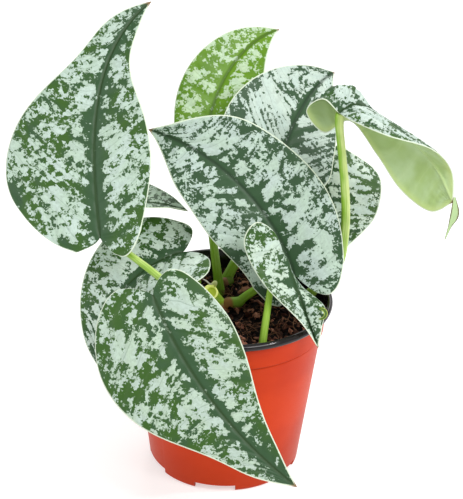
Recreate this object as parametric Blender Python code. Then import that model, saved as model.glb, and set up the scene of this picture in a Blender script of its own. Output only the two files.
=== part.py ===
"""Potted satin pothos: ten heart-shaped leaves on petioles, standing in soil in a nursery pot.

The pot's base centre is the origin, +Z is up and the plant's front faces -Y.
Lengths in this file are millimetres, angles are degrees, and MM turns lengths into metres.
"""
import math
from dataclasses import dataclass

import bmesh
import bpy
import numpy as np
from mathutils import Matrix, Vector, noise

MM = 0.001
GAP = 0.3

# Pot
POT_HEIGHT = 105.0
RIM_RADIUS = 60.0
BASE_RADIUS = 44.0
WALL = 1.2
LIP_HEIGHT = 4.0
BAND_HEIGHT = 13.0
BAND_STEP = 1.2
WALL_RADIUS_UNDER_LIP = 56.5
BODY_RADIUS_UNDER_BAND = 54.3
POT_SEGMENTS = 40
FOOT_COUNT = 6
NOTCH_HEIGHT = 4.0
NOTCH_HALF_ANGLE = 16.0
NOTCH_INNER_RADIUS = 32.0
FIRST_NOTCH_ANGLE = -96.0
DRAIN_RADIUS = 2.6
DRAIN_CIRCLE_RADIUS = 36.0

# Soil
SOIL_LEVEL = 94.0
SOIL_RELIEF = 1.6
SOIL_GRAIN = 9.0
STEM_DEPTH = 8.0

# Leaves and stems
BLADE_THICKNESS = 0.8
PETIOLE_SIDES = 2
PETIOLE_POINTS = 10
VEIN_BOW = 0.066
VEIN_LEAD = 0.12
MARGIN_CARE = 0.7
EDGE_WAVE = 0.6
EDGE_WAVES_PER_BLADE = 2.2
MIDRIB_STEPS = 40
LOBE_STEPS = 10
LOBE_REACH = 0.25
LOBE_BLEND = (0.15, 0.15)
SHOULDER_PLACE = (0.22, 0.15)
POINT_PLACE = (0.78, 0.14)
CURVE_STEPS = 400
ARCH_ROUNDNESS = 0.8

# Half a heart: distance along the midrib over the blade's length, and width over its half width
HEART = (
    (0.0, 0.0), (-0.055, 0.10), (-0.125, 0.30), (-0.145, 0.55), (-0.085, 0.82), (0.06, 0.98),
    (0.24, 1.0), (0.43, 0.89), (0.62, 0.66), (0.79, 0.38), (0.91, 0.155), (0.97, 0.05), (1.0, 0.0),
)


@dataclass
class Leaf:
    """One blade and its petiole. Pairs are (left, right) seen from the base towards the tip,
    or (at the base, at the tip); triples are (at the base, at 40 % of the length, at the tip)."""
    name: str
    base: tuple                     # where the petiole joins the blade
    heading: float                  # direction of the midrib: 0 is +Y, 90 is +X
    climb: float                    # its rise above the horizontal
    roll: float                     # positive lowers the left half
    length: float
    half_width: tuple
    lobe: tuple                     # how far each lobe reaches back, 1 is a deep heart
    shoulder: tuple                 # extra fullness of the lobes
    point: tuple                    # extra fullness near the tip
    taper: tuple                    # under 1 carries the width towards the tip
    droop: tuple                    # bend of the midrib away from the upper face
    swing: tuple                    # bend of the midrib to the left
    foot: tuple                     # where the petiole leaves the soil, x and y
    path: tuple                     # points that the petiole passes
    foot_radius: float = 2.4
    fold: tuple = ((12, 12, 12), (12, 12, 12))
    curl: tuple = ((-20, -16, -10), (-20, -16, -10))
    wave_phase: float = 0.0
    tip_radius: float = 1.7
    rows: int = 17
    columns: tuple = (3, 3)
    colour: tuple = (0.42, 0.53, 0.43)


@dataclass
class FoldedLeaf:
    """A strongly folded blade between three smooth curves that share its base and its tip."""
    name: str
    base: tuple
    tip: tuple
    midrib: tuple                   # points between the base and the tip
    left_margin: tuple
    right_margin: tuple
    gather: tuple                   # how closely the veins start along midrib and both margins
    arch: tuple                     # how far the left half bulges where it rolls over
    arch_place: float               # share of the veins where it bulges most
    arch_spread: float
    sway: tuple                     # how far it bulges all along
    crown: tuple                    # how far the right half rises between midrib and margin
    joint: tuple                    # where the petiole meets the blade's underside
    face: tuple                     # direction from there out of the upper face
    foot: tuple
    path: tuple
    foot_radius: float
    tip_radius: float
    rows: int
    columns: tuple
    colour: tuple


LEAVES = (
    Leaf("upper_left", base=(-71, -15, 146), heading=-14, climb=49, roll=18, length=150,
         half_width=(53, 34), lobe=(0.3, 0.6), shoulder=(-0.6, -0.3), point=(-0.4, -0.3),
         taper=(1.0, 0.9), droop=(5, 25), swing=(-10, -122),
         fold=((10, 10, 10), (15, 15, 15)), wave_phase=0.4, rows=21, columns=(4, 4),
         foot=(-25, -12), path=((-26, -28, 109), (-28, -39, 122), (-33, -38, 131), (-58, -17, 140)),
         foot_radius=2.5),
    Leaf("lower_left", base=(-40, -48, 129), heading=144, climb=-48, roll=-32, length=130,
         half_width=(33, 46), lobe=(0.5, 0.5), shoulder=(-0.28, -0.33), point=(-0.12, -0.25),
         taper=(1.0, 1.05), droop=(12, 12), swing=(30, 32),
         fold=((6, 6, 6), (6, 6, 6)), wave_phase=1.9, rows=21, columns=(4, 4),
         foot=(-12, -18), path=((-15, -34, 107), (-26, -45, 116))),
    Leaf("centre", base=(37, -10, 124), heading=-48, climb=65, roll=42, length=122,
         half_width=(33, 37), lobe=(0.8, 0.9), shoulder=(-0.25, -0.2), point=(0.15, 0.25),
         taper=(0.7, 0.9), droop=(26, 26), swing=(60, 45), wave_phase=3.1,
         rows=21, columns=(4, 4), foot=(5, 5), path=((15, 9, 103), (28, 8, 111)), foot_radius=2.8),
    Leaf("top_lime", base=(-15, 64, 177), heading=12, climb=55, roll=-13, length=84,
         half_width=(23, 28), lobe=(1.0, 1.0), shoulder=(-0.1, 0.0), point=(0.05, 0.0),
         taper=(0.85, 1.0), droop=(8, 40), swing=(-40, -85), wave_phase=2.2,
         colour=(0.40, 0.55, 0.16),
         foot=(-5, 21), path=((-9, 25, 124), (-14, 42, 152)), foot_radius=2.8),
    Leaf("top_silver", base=(27, 30, 175), heading=19, climb=35, roll=-28, length=80,
         half_width=(39, 29), lobe=(1.0, 1.0), shoulder=(0.0, 0.15), point=(0.0, -0.05),
         taper=(1.0, 1.1), droop=(2, 52), swing=(-12, -65), wave_phase=0.1,
         columns=(4, 4), foot=(-2, 31), path=((5, 32, 112), (18, 30, 142)), foot_radius=3.4),
    Leaf("right_lower", base=(51, 46, 166), heading=153, climb=-44, roll=-14, length=54,
         half_width=(33, 27), lobe=(1.15, 1.15), shoulder=(-0.33, 0.0), point=(0.15, 0.0),
         taper=(0.95, 1.0), droop=(10, 30), swing=(-12, -10), wave_phase=2.7,
         foot=(33, 27), path=((40, 44, 120), (47, 56, 148)), foot_radius=2.3),
    Leaf("left_middle", base=(-26, 4, 129), heading=-107, climb=-10, roll=15, length=92,
         half_width=(35, 34), lobe=(0.8, 0.7), shoulder=(0.05, -0.33), point=(0.0, -0.1),
         taper=(1.0, 1.05), droop=(65, 115), swing=(45, 25),
         fold=((24, 24, 24), (24, 24, 24)), wave_phase=3.8, columns=(4, 4),
         foot=(-17, 17), path=((-18, 12, 108), (-20, 6, 118)), foot_radius=2.3),
    Leaf("left_small", base=(-67, 15, 153), heading=83, climb=4, roll=0, length=44,
         half_width=(25, 10), lobe=(1.0, 1.0), shoulder=(0.0, 0.0), point=(0.0, 0.0),
         taper=(1.0, 1.0), droop=(14, 42), swing=(-8, -6), wave_phase=1.5,
         rows=15, foot=(-27, 33), path=((-44, 38, 118), (-63, 28, 140)), foot_radius=2.1),
)

FOLDED_LEAVES = (
    FoldedLeaf(
        "front_small", base=(29, -20, 143), tip=(50, -50, 100),
        midrib=((33, -21, 138), (36, -25, 128), (43, -37, 114)),
        left_margin=((29, -13, 140), (33, -13, 131), (41, -20, 122), (53, -35, 118), (52, -44, 111)),
        right_margin=((24, -19, 155), (14, -19, 160), (8, -24, 149), (19, -33, 130), (40, -43, 112)),
        gather=(2.0, 1.5, 1.2), arch=(0, -2, 2), arch_place=0.8, arch_spread=0.12, sway=(0, 0, 0),
        crown=(0, -1.5, 1), joint=(27.5, -19.3, 142.3), face=(0.2, -0.1, 0.97), foot=(20, -38),
        path=((21.5, -33, 108), (23.5, -25, 122)),
        foot_radius=2.3, tip_radius=1.6, rows=21, columns=(4, 4), colour=(0.42, 0.53, 0.43)),
    FoldedLeaf(
        "right_folded", base=(57, 2, 217), tip=(123, -3, 168),
        midrib=((67, 4, 221), (81, 3, 215), (108, -1, 193)),
        left_margin=((48, 3, 224), (40, 9, 214), (51, 19, 198), (65, 17, 206), (80, 8, 190), (94, 5, 171),
                     (111, 1, 160)),
        right_margin=((64, -10, 217), (82, -22, 214), (107, -15, 204), (120, -6, 188)),
        gather=(3.0, 1.2, 1.9), arch=(0, 1, 18), arch_place=0.38, arch_spread=0.19, sway=(1, 3, 0),
        crown=(0, 0, 2), joint=(57.8, 2.6, 216.6), face=(0, 0, 1), foot=(44, 11),
        path=((50, 10, 105), (62, 8, 120), (65, 8, 142), (64, 6, 165), (61, 4, 188)),
        foot_radius=2.9, tip_radius=2.2, rows=24, columns=(6, 3), colour=(0.50, 0.62, 0.36)),
)

# The cut end of the old vine beside the centre leaf's foot
VINE_FOOT = (-3, 3)
VINE_PATH = ((-5, 5.5, 100.5), (-8.5, 8, 103), (-13, 10.5, 105))
VINE_RADII = (3.4, 3.6, 3.2, 3.4)


def clear_scene():
    for item in list(bpy.data.objects):
        bpy.data.objects.remove(item, do_unlink=True)


def finish_material(name, colour, roughness):
    material = bpy.data.materials.new(name)
    material.use_nodes = True
    shader = material.node_tree.nodes["Principled BSDF"]
    shader.inputs["Base Color"].default_value = (*colour, 1.0)
    shader.inputs["Roughness"].default_value = roughness
    shader.inputs["Metallic"].default_value = 0.0
    return material


def add_object(name, mesh, material):
    item = bpy.data.objects.new(name, mesh)
    bpy.context.collection.objects.link(item)
    item.data.materials.append(material)
    return item


def mesh_from(name, bm):
    mesh = bpy.data.meshes.new(name)
    bm.to_mesh(mesh)
    bm.free()
    return mesh


def turned(name, profile, material):
    """Solid of revolution about Z from (radius, height) points that start and end on the axis."""
    bm = bmesh.new()
    points = [bm.verts.new((radius * MM, 0.0, height * MM)) for radius, height in profile]
    edges = [bm.edges.new(pair) for pair in zip(points, points[1:])]
    bmesh.ops.spin(bm, geom=points + edges, cent=(0, 0, 0), axis=(0, 0, 1),
                   angle=2 * math.pi, steps=POT_SEGMENTS, use_merge=True)
    bmesh.ops.remove_doubles(bm, verts=bm.verts, dist=1e-6)
    bmesh.ops.recalc_face_normals(bm, faces=bm.faces)
    return add_object(name, mesh_from(name, bm), material)


def cut_away(item, cutter):
    """Subtracts the cutter, keeps the result as the item's mesh and removes the cutter."""
    modifier = item.modifiers.new("cut", "BOOLEAN")
    modifier.operation = "DIFFERENCE"
    modifier.solver = "EXACT"
    modifier.object = cutter
    evaluated = item.evaluated_get(bpy.context.evaluated_depsgraph_get())
    mesh = bpy.data.meshes.new_from_object(evaluated)
    item.modifiers.clear()
    item.data = mesh
    bpy.data.objects.remove(cutter, do_unlink=True)


def notch_cutter(name, grow, material):
    """Six wedges under the pot's edge, between its feet, grown by a margin on every side."""
    bm = bmesh.new()
    inner = NOTCH_INNER_RADIUS - grow
    outer = BASE_RADIUS + 8.0
    half = math.radians(NOTCH_HALF_ANGLE) + grow / BASE_RADIUS
    for index in range(FOOT_COUNT):
        middle = math.radians(FIRST_NOTCH_ANGLE + index * 360.0 / FOOT_COUNT)
        corners = []
        for radius, angle in ((inner, -half), (outer, -half), (outer, half), (inner, half)):
            x = radius * math.cos(middle + angle) * MM
            y = radius * math.sin(middle + angle) * MM
            corners.append(bm.verts.new((x, y, -2.0 * MM)))
        face = bm.faces.new(corners)
        raised = bmesh.ops.extrude_face_region(bm, geom=[face])
        top = [part for part in raised["geom"] if isinstance(part, bmesh.types.BMVert)]
        rise = (NOTCH_HEIGHT + grow + 2.0) * MM
        bmesh.ops.translate(bm, verts=top, vec=(0, 0, rise))
    bmesh.ops.recalc_face_normals(bm, faces=bm.faces)
    return add_object(name, mesh_from(name, bm), material)


def rods_cutter(name, rods, material):
    """Upright cylinders: each rod is (x, y, radius, bottom, top)."""
    bm = bmesh.new()
    for x, y, radius, bottom, top in rods:
        place = Matrix.Translation((x * MM, y * MM, (bottom + top) / 2 * MM))
        bmesh.ops.create_cone(bm, cap_ends=True, segments=12, radius1=radius * MM,
                              radius2=radius * MM, depth=(top - bottom) * MM, matrix=place)
    return add_object(name, mesh_from(name, bm), material)


def outer_profile():
    band_foot = POT_HEIGHT - LIP_HEIGHT - BAND_HEIGHT
    under_lip = POT_HEIGHT - LIP_HEIGHT
    return (
        (0, 0), (BASE_RADIUS - 3.4, 0), (BASE_RADIUS - 1.6, 0.9), (BASE_RADIUS - 0.6, 2.4),
        (BASE_RADIUS, 5), (BODY_RADIUS_UNDER_BAND, band_foot - 1),
        (BODY_RADIUS_UNDER_BAND + BAND_STEP, band_foot), (WALL_RADIUS_UNDER_LIP, under_lip),
        (RIM_RADIUS - 1.2, under_lip + 0.2), (RIM_RADIUS, under_lip + 1.8),
        (RIM_RADIUS - 0.4, POT_HEIGHT - 0.8), (RIM_RADIUS - 1.4, POT_HEIGHT), (0, POT_HEIGHT),
    )


def cavity_profile(shrink, top):
    """Inside of the pot's wall, drawn in by a further margin and cut off at a height."""
    band_foot = POT_HEIGHT - LIP_HEIGHT - BAND_HEIGHT
    inset = WALL + shrink
    top_radius = np.interp(top, (band_foot, POT_HEIGHT - LIP_HEIGHT, POT_HEIGHT + 1),
                           (BODY_RADIUS_UNDER_BAND + BAND_STEP, WALL_RADIUS_UNDER_LIP,
                            WALL_RADIUS_UNDER_LIP + 1.6)) - inset
    points = [
        (0, inset), (BASE_RADIUS - 2.9 - inset, inset), (BASE_RADIUS - 1.5 - inset, inset + 0.8),
        (BASE_RADIUS - 0.5 - inset, inset + 2.4), (BASE_RADIUS - inset, inset + 4.2),
        (BODY_RADIUS_UNDER_BAND - inset, band_foot - 1),
        (BODY_RADIUS_UNDER_BAND + BAND_STEP - inset, band_foot + 0.2),
    ]
    points.append((float(top_radius), top))
    return points


def build_pot():
    shell = finish_material("pot_plastic", (0.75, 0.14, 0.05), 0.4)
    pot = turned("pot", outer_profile(), shell)
    cut_away(pot, notch_cutter("notches", 0.0, shell))
    cavity = turned("cavity", cavity_profile(0.0, POT_HEIGHT + 1) + [(0, POT_HEIGHT + 1)], shell)
    cut_away(cavity, notch_cutter("notch_roofs", WALL, shell))
    cut_away(pot, cavity)
    drains = []
    for index in range(FOOT_COUNT):
        angle = math.radians(FIRST_NOTCH_ANGLE + index * 360.0 / FOOT_COUNT)
        x = DRAIN_CIRCLE_RADIUS * math.cos(angle)
        y = DRAIN_CIRCLE_RADIUS * math.sin(angle)
        drains.append((x, y, DRAIN_RADIUS, NOTCH_HEIGHT - 1, NOTCH_HEIGHT + WALL + 1))
    cut_away(pot, rods_cutter("drains", drains, shell))
    pot.data.shade_smooth()
    pot.data.set_sharp_from_angle(angle=math.radians(35))


def build_soil():
    earth = finish_material("potting_soil", (0.06, 0.035, 0.022), 0.95)
    profile = cavity_profile(GAP, SOIL_LEVEL)
    edge = profile[-1][0]
    rings = [(edge * share, SOIL_LEVEL) for share in (0.85, 0.68, 0.5, 0.32, 0.16, 0.0)]
    soil = turned("soil", profile + rings, earth)
    for vertex in soil.data.vertices:
        if vertex.co.z > (SOIL_LEVEL - 0.5) * MM:
            spot = Vector((vertex.co.x, vertex.co.y, 0.0)) / (SOIL_GRAIN * MM)
            vertex.co.z += SOIL_RELIEF * MM * noise.noise(spot)
    cut_away(soil, notch_cutter("soil_notches", WALL + GAP, earth))
    holes = []
    for foot, radius in stem_feet():
        holes.append((*foot, radius + GAP, SOIL_LEVEL - STEM_DEPTH, SOIL_LEVEL + 6))
    cut_away(soil, rods_cutter("stem_holes", holes, earth))


def stem_feet():
    feet = [(leaf.foot, leaf.foot_radius) for leaf in (*LEAVES, *FOLDED_LEAVES)]
    feet.append((VINE_FOOT, VINE_RADII[0]))
    return feet


def smooth_curve(points, count):
    """Catmull-Rom curve through the points, read at evenly spaced parameters."""
    points = np.asarray(points, float)
    ends = np.vstack([2 * points[0] - points[1], points, 2 * points[-1] - points[-2]])
    spans = len(points) - 1
    places = np.linspace(0, spans, count)
    index = np.minimum(places.astype(int), spans - 1)
    t = (places - index)[:, None]
    a, b, c, d = ends[index], ends[index + 1], ends[index + 2], ends[index + 3]
    cubic = 2 * b + (c - a) * t + (2 * a - 5 * b + 4 * c - d) * t ** 2
    return 0.5 * (cubic + (3 * b - a - 3 * c + d) * t ** 3)


def turn(vector, axis, angle):
    """Rodrigues' rotation of a vector about a unit axis."""
    along = axis * np.dot(axis, vector) * (1 - math.cos(angle))
    return vector * math.cos(angle) + np.cross(axis, vector) * math.sin(angle) + along


def start_frame(leaf):
    """Directions at the leaf's base: along the midrib, out of the upper face, to the left."""
    heading, climb, roll = (math.radians(a) for a in (leaf.heading, leaf.climb, leaf.roll))
    level = np.array([math.sin(heading), math.cos(heading), 0.0])
    up = np.array([0.0, 0.0, 1.0])
    along = level * math.cos(climb) + up * math.sin(climb)
    upper = up * math.cos(climb) - level * math.sin(climb)
    left = np.cross(upper, along)
    return (along, upper * math.cos(roll) + left * math.sin(roll),
            left * math.cos(roll) - upper * math.sin(roll))


def march(leaf, end, steps):
    """Walks the midrib from the base to a share of its length, turning its frame as it goes."""
    along, upper, left = start_frame(leaf)
    place = np.array(leaf.base, float)
    step = end / steps
    rows = [(0.0, place, upper, left)]
    for index in range(steps):
        share = (index + 0.5) * step
        growth = max(share, 0.0) ** 1.5
        rates = [pair[0] + (pair[1] - pair[0]) * growth
                 for pair in (leaf.droop, leaf.swing)]
        if share < 0:
            rates = [0.0, 0.0]
        spin = (np.radians(rates[0]) * left + np.radians(rates[1]) * upper) * step
        angle = float(np.linalg.norm(spin))
        ahead = along
        if angle > 1e-12:
            axis = spin / angle
            ahead, upper, left = (turn(v, axis, angle) for v in (along, upper, left))
        place = place + 0.5 * (along + ahead) * step * leaf.length
        along = ahead
        rows.append(((index + 1) * step, place, upper, left))
    return rows


def midrib(leaf):
    back = march(leaf, -LOBE_REACH, LOBE_STEPS)
    rows = back[:0:-1] + march(leaf, 1.0, MIDRIB_STEPS)
    return [np.array([row[k] for row in rows]) for k in range(4)]


def running(steps):
    """Share of the whole covered at each point of a run."""
    run = np.concatenate([[0.0], np.cumsum(steps)])
    return run / run[-1]


def margin(leaf, side, count):
    """Flat margin points of one half, closer together where the margin turns."""
    x, y = smooth_curve(HEART, 600).T
    u = running(np.hypot(np.diff(x), 0.3 * np.diff(y)))
    shoulder, point = (np.exp(-((u - place) / spread) ** 2)
                       for place, spread in (SHOULDER_PLACE, POINT_PLACE))
    y = y * (1 + leaf.shoulder[side] * shoulder + leaf.point[side] * point)
    ease = np.clip((x + LOBE_BLEND[0]) / (LOBE_BLEND[0] + LOBE_BLEND[1]), 0, 1)
    ease = ease * ease * (3 - 2 * ease)
    x = np.where(x < 0, x, np.clip(x, 1e-9, None) ** leaf.taper[side])
    x = x * (leaf.lobe[side] + (1 - leaf.lobe[side]) * ease)
    dx = np.diff(x) * leaf.length
    dy = np.diff(y) * leaf.half_width[side]
    turning = np.abs(np.diff(np.unwrap(np.arctan2(dy, dx)), prepend=0.0))
    turning[0] = 0.0
    steps = np.hypot(dx, dy)
    run = running(steps / steps.sum() + MARGIN_CARE * turning / turning.sum())
    places = np.linspace(0, 1, count)
    return np.interp(places, run, x), np.interp(places, run, y)


def bend(leaf, spine, x, across, side):
    """Places flat points: x over the length, across over the half width, side 0 left or 1 right."""
    stations, places, uppers, lefts = spine
    spot = np.stack([np.interp(x, stations, places[:, k]) for k in range(3)], -1)
    upper = np.stack([np.interp(x, stations, uppers[:, k]) for k in range(3)], -1)
    left = np.stack([np.interp(x, stations, lefts[:, k]) for k in range(3)], -1)
    upper /= np.linalg.norm(upper, axis=-1, keepdims=True)
    left /= np.linalg.norm(left, axis=-1, keepdims=True)
    inside = np.clip(x, 0, 1)
    fold = np.radians(np.interp(inside, (0, 0.4, 1), leaf.fold[side]))
    curl = np.radians(np.interp(inside, (0, 0.4, 1), leaf.curl[side]))
    curl = np.where(np.abs(curl) < 1e-4, 1e-4, curl)
    lean = fold + curl * across
    width = leaf.half_width[side]
    sideways = width / curl * (np.sin(lean) - np.sin(fold))
    lift = width / curl * (np.cos(fold) - np.cos(lean))
    phase = 2 * math.pi * EDGE_WAVES_PER_BLADE * x + leaf.wave_phase + 1.3 * side
    lift = lift + EDGE_WAVE * np.sin(phase) * across ** 2
    sign = 1 if side == 0 else -1
    return spot + sign * sideways[..., None] * left + lift[..., None] * upper


def half_grid(leaf, spine, side):
    """Rows follow the side veins from the midrib to the margin, the first and last are points."""
    both = [margin(leaf, half, leaf.rows + 2) for half in (0, 1)]
    reach = np.clip((both[0][0] + both[1][0]) / 2 - VEIN_LEAD, 0, None) / (1 - VEIN_LEAD)
    even = np.linspace(0, 1, leaf.rows + 2)
    root = (0.08 * even + 0.92 * reach ** 1.2)[:, None]
    margin_x, margin_y = (values[:, None] for values in both[side])
    v = np.linspace(0, 1, leaf.columns[side] + 1)[None, :]
    x = root + (margin_x - root) * v - VEIN_BOW * v * (1 - v) * np.abs(margin_y)
    return bend(leaf, spine, x, margin_y * v, side)


def along_curve(points, shares):
    """Smooth curve through the points, read at shares of its length."""
    fine = smooth_curve(points, CURVE_STEPS)
    run = running(np.linalg.norm(np.diff(fine, axis=0), axis=1))
    return np.stack([np.interp(shares, run, fine[:, k]) for k in range(3)], -1)


def folded_halves(leaf):
    """The left half arches from the midrib over to its margin, the right half is nearly flat."""
    u = np.linspace(0, 1, leaf.rows + 2)
    runs = (leaf.midrib, leaf.left_margin, leaf.right_margin)
    middle, left_margin, right_margin = (
        along_curve((leaf.base, *run, leaf.tip), u ** gather)[:, None]
        for run, gather in zip(runs, leaf.gather))
    ends = np.sin(math.pi * u)[:, None, None]
    hump = np.exp(-((u - leaf.arch_place) / leaf.arch_spread) ** 2)[:, None, None]
    arch = hump * np.clip(4 * ends, 0, 1) * np.array(leaf.arch, float) + ends * np.array(leaf.sway, float)
    v = np.linspace(0, 1, leaf.columns[0] + 1)[None, :, None]
    left = middle + (left_margin - middle) * v + arch * (4 * v * (1 - v)) ** ARCH_ROUNDNESS
    v = np.linspace(0, 1, leaf.columns[1] + 1)[None, :, None]
    widths = np.linalg.norm(right_margin - middle, axis=-1, keepdims=True)
    rise = 4 * v * (1 - v) * widths / widths.max() * np.array(leaf.crown, float)
    right = middle + (right_margin - middle) * v + rise
    return left, right


def blade_halves(leaf):
    if isinstance(leaf, FoldedLeaf):
        return folded_halves(leaf)
    spine = midrib(leaf)
    return half_grid(leaf, spine, 0), half_grid(leaf, spine, 1)


def build_blade(leaf):
    """The blade's middle surface as a triangulated grid, given its thickness by Solidify."""
    left, right = blade_halves(leaf)
    rows = np.concatenate([right[:, :0:-1], left], axis=1)
    bm = bmesh.new()
    start = bm.verts.new(Vector(rows[0][0]) * MM)
    end = bm.verts.new(Vector(rows[-1][0]) * MM)
    lines = [[bm.verts.new(Vector(point) * MM) for point in row] for row in rows[1:-1]]
    for near, far in zip(lines, lines[1:]):
        for k in range(len(near) - 1):
            if k < leaf.columns[1]:
                bm.faces.new((near[k], far[k], near[k + 1]))
                bm.faces.new((near[k + 1], far[k], far[k + 1]))
            else:
                bm.faces.new((near[k], far[k], far[k + 1]))
                bm.faces.new((near[k], far[k + 1], near[k + 1]))
    for k in range(len(lines[0]) - 1):
        bm.faces.new((start, lines[0][k], lines[0][k + 1]))
        bm.faces.new((end, lines[-1][k + 1], lines[-1][k]))
    name = "blade_" + leaf.name
    blade = add_object(name, mesh_from(name, bm), finish_material(name, leaf.colour, 0.55))
    solid = blade.modifiers.new("thickness", "SOLIDIFY")
    solid.thickness = BLADE_THICKNESS * MM
    solid.offset = 0.0
    blade.data.shade_smooth()


def tube(name, points, radii, colour):
    """A stem: a tapered round tube with closed ends."""
    curve = bpy.data.curves.new(name, "CURVE")
    curve.dimensions = "3D"
    curve.bevel_depth = MM
    curve.bevel_resolution = PETIOLE_SIDES
    curve.use_fill_caps = True
    spline = curve.splines.new("POLY")
    spline.points.add(len(points) - 1)
    for spot, point, radius in zip(spline.points, points, radii):
        spot.co = (*(np.asarray(point) * MM), 1.0)
        spot.radius = radius
    return add_object(name, curve, finish_material(name, colour, 0.45))


def petiole_joint(leaf):
    """Where the petiole meets the blade, and the direction out of the blade's upper face."""
    if isinstance(leaf, FoldedLeaf):
        return np.array(leaf.joint, float), np.array(leaf.face, float)
    joint = bend(leaf, midrib(leaf), np.array([0.025]), np.array([0.0]), 0)[0]
    return joint, start_frame(leaf)[1]


def build_petiole(leaf):
    """From its hole in the soil to just under the blade, which it meets square on."""
    joint, upper = petiole_joint(leaf)
    x, y = leaf.foot
    knots = [(x, y, SOIL_LEVEL + 2.5), *leaf.path, tuple(joint - 7.0 * upper)]
    middle = smooth_curve(knots, PETIOLE_POINTS)
    last = joint - upper * (BLADE_THICKNESS / 2 + GAP)
    points = [(x, y, SOIL_LEVEL - STEM_DEPTH + GAP), *middle, tuple(last)]
    shares = np.linspace(0, 1, len(points))
    radii = leaf.foot_radius + (leaf.tip_radius - leaf.foot_radius) * shares
    tube("petiole_" + leaf.name, points, radii, (0.45, 0.60, 0.20))


def build_vine():
    """Short old vine with its cut end, rising out of the soil beside the centre petiole."""
    x, y = VINE_FOOT
    points = [(x, y, SOIL_LEVEL - STEM_DEPTH + GAP), (x, y, SOIL_LEVEL + 1.0), *VINE_PATH]
    tube("vine_cut_end", points, (VINE_RADII[0], *VINE_RADII), (0.50, 0.56, 0.20))


def main():
    clear_scene()
    build_pot()
    build_soil()
    build_vine()
    for leaf in (*LEAVES, *FOLDED_LEAVES):
        build_petiole(leaf)
        build_blade(leaf)


main()
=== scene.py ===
"""Satin pothos in a nursery pot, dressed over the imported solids.

Lengths inside this file are millimetres and angles are degrees unless a property says otherwise.
The origin is the middle of the pot's base, +Z is up and the plant's front faces -Y.
"""
import math
from dataclasses import dataclass, field

import bmesh
import bpy
import numpy as np
from bpy.props import FloatProperty, FloatVectorProperty, IntProperty, PointerProperty
from mathutils import Matrix, Vector, noise


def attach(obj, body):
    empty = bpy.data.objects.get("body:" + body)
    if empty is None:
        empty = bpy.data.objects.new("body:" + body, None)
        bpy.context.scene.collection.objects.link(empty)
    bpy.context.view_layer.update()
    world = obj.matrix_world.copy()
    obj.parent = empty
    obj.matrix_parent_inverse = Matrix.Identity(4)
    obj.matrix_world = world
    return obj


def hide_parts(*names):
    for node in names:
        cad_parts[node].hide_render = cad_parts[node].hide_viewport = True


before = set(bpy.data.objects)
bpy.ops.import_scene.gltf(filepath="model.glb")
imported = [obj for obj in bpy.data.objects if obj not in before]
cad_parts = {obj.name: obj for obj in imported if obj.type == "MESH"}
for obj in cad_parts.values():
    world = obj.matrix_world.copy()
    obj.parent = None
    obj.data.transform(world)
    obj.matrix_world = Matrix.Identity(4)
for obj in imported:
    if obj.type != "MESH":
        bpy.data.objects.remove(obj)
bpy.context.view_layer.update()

bl_info = {
    "name": "Satin pothos in a nursery pot",
    "version": (1, 0, 0),
    "blender": (4, 5, 0),
    "location": "3D View > Sidebar > Pothos",
    "description": "Builds the leaves, stems, soil and pot of a potted satin pothos",
    "category": "Add Mesh",
}

MM = 0.001

# Pot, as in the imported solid
POT_HEIGHT = 105.0
RIM_RADIUS = 60.0
BASE_RADIUS = 44.0
WALL = 1.2
LIP_HEIGHT = 4.0
BAND_HEIGHT = 13.0
BAND_STEP = 1.2
WALL_RADIUS_UNDER_LIP = 56.5
BODY_RADIUS_UNDER_BAND = 54.3
FOOT_COUNT = 6
NOTCH_HEIGHT = 4.0
NOTCH_HALF_ANGLE = 16.0
NOTCH_INNER_RADIUS = 38.0
NOTCH_OUTER_RADIUS = 52.0
CUT_MARGIN = 2.0                            # how far a cutter reaches past the wall
FLOOR_LIFT = 4.6
RING_INNER_RADIUS = 41.2
FIRST_NOTCH_ANGLE = -96.0
DRAIN_RADIUS = 2.6
DRAIN_CIRCLE_RADIUS = 36.0

# Soil
SOIL_LEVEL = 94.0
SOIL_RELIEF = 1.6
SOIL_GRAIN = 9.0
CRUMB_RELIEF = 0.9
CRUMB_GRAIN = 2.6
DUST_RELIEF = 0.4
DUST_GRAIN = 1.1
SOIL_RINGS = 60
SOIL_SEGMENTS = 150
STEM_DEPTH = 8.0
GAP = 0.3
STEM_FOOT = SOIL_LEVEL - STEM_DEPTH + GAP

# Blades
BLADE_THICKNESS = 0.8
VEIN_BOW = 0.066
VEIN_LEAD = 0.12
MARGIN_CARE = 0.7
EDGE_WAVE = 0.6
EDGE_WAVES_PER_BLADE = 2.2
MIDRIB_STEPS = 40
LOBE_STEPS = 10
LOBE_REACH = 0.25
LOBE_BLEND = 0.15
SHOULDER_PLACE = (0.22, 0.15)
POINT_PLACE = (0.78, 0.14)
CURVE_STEPS = 400
ARCH_ROUNDNESS = 0.8
BEND_GROWTH = 1.5                           # how late along the midrib its bending changes
FLAT = 1e-9

# Relief of the finer blades
VEIN_WIDTH = 0.35                           # share of a ripple that a side vein takes up
QUILT_EASE = (4.0, 5.0)                     # from the midrib and from the margin
GROOVE_WIDTH = 0.9
GROOVE_EASE = 4.0
KEEL_HEIGHT = 0.9
KEEL_WIDTH = 0.85
KEEL_EASE = 6.0
FLESH = 0.85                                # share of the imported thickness
EDGE_ROUNDING = 1.2
EDGE_HALF = 0.06

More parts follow.
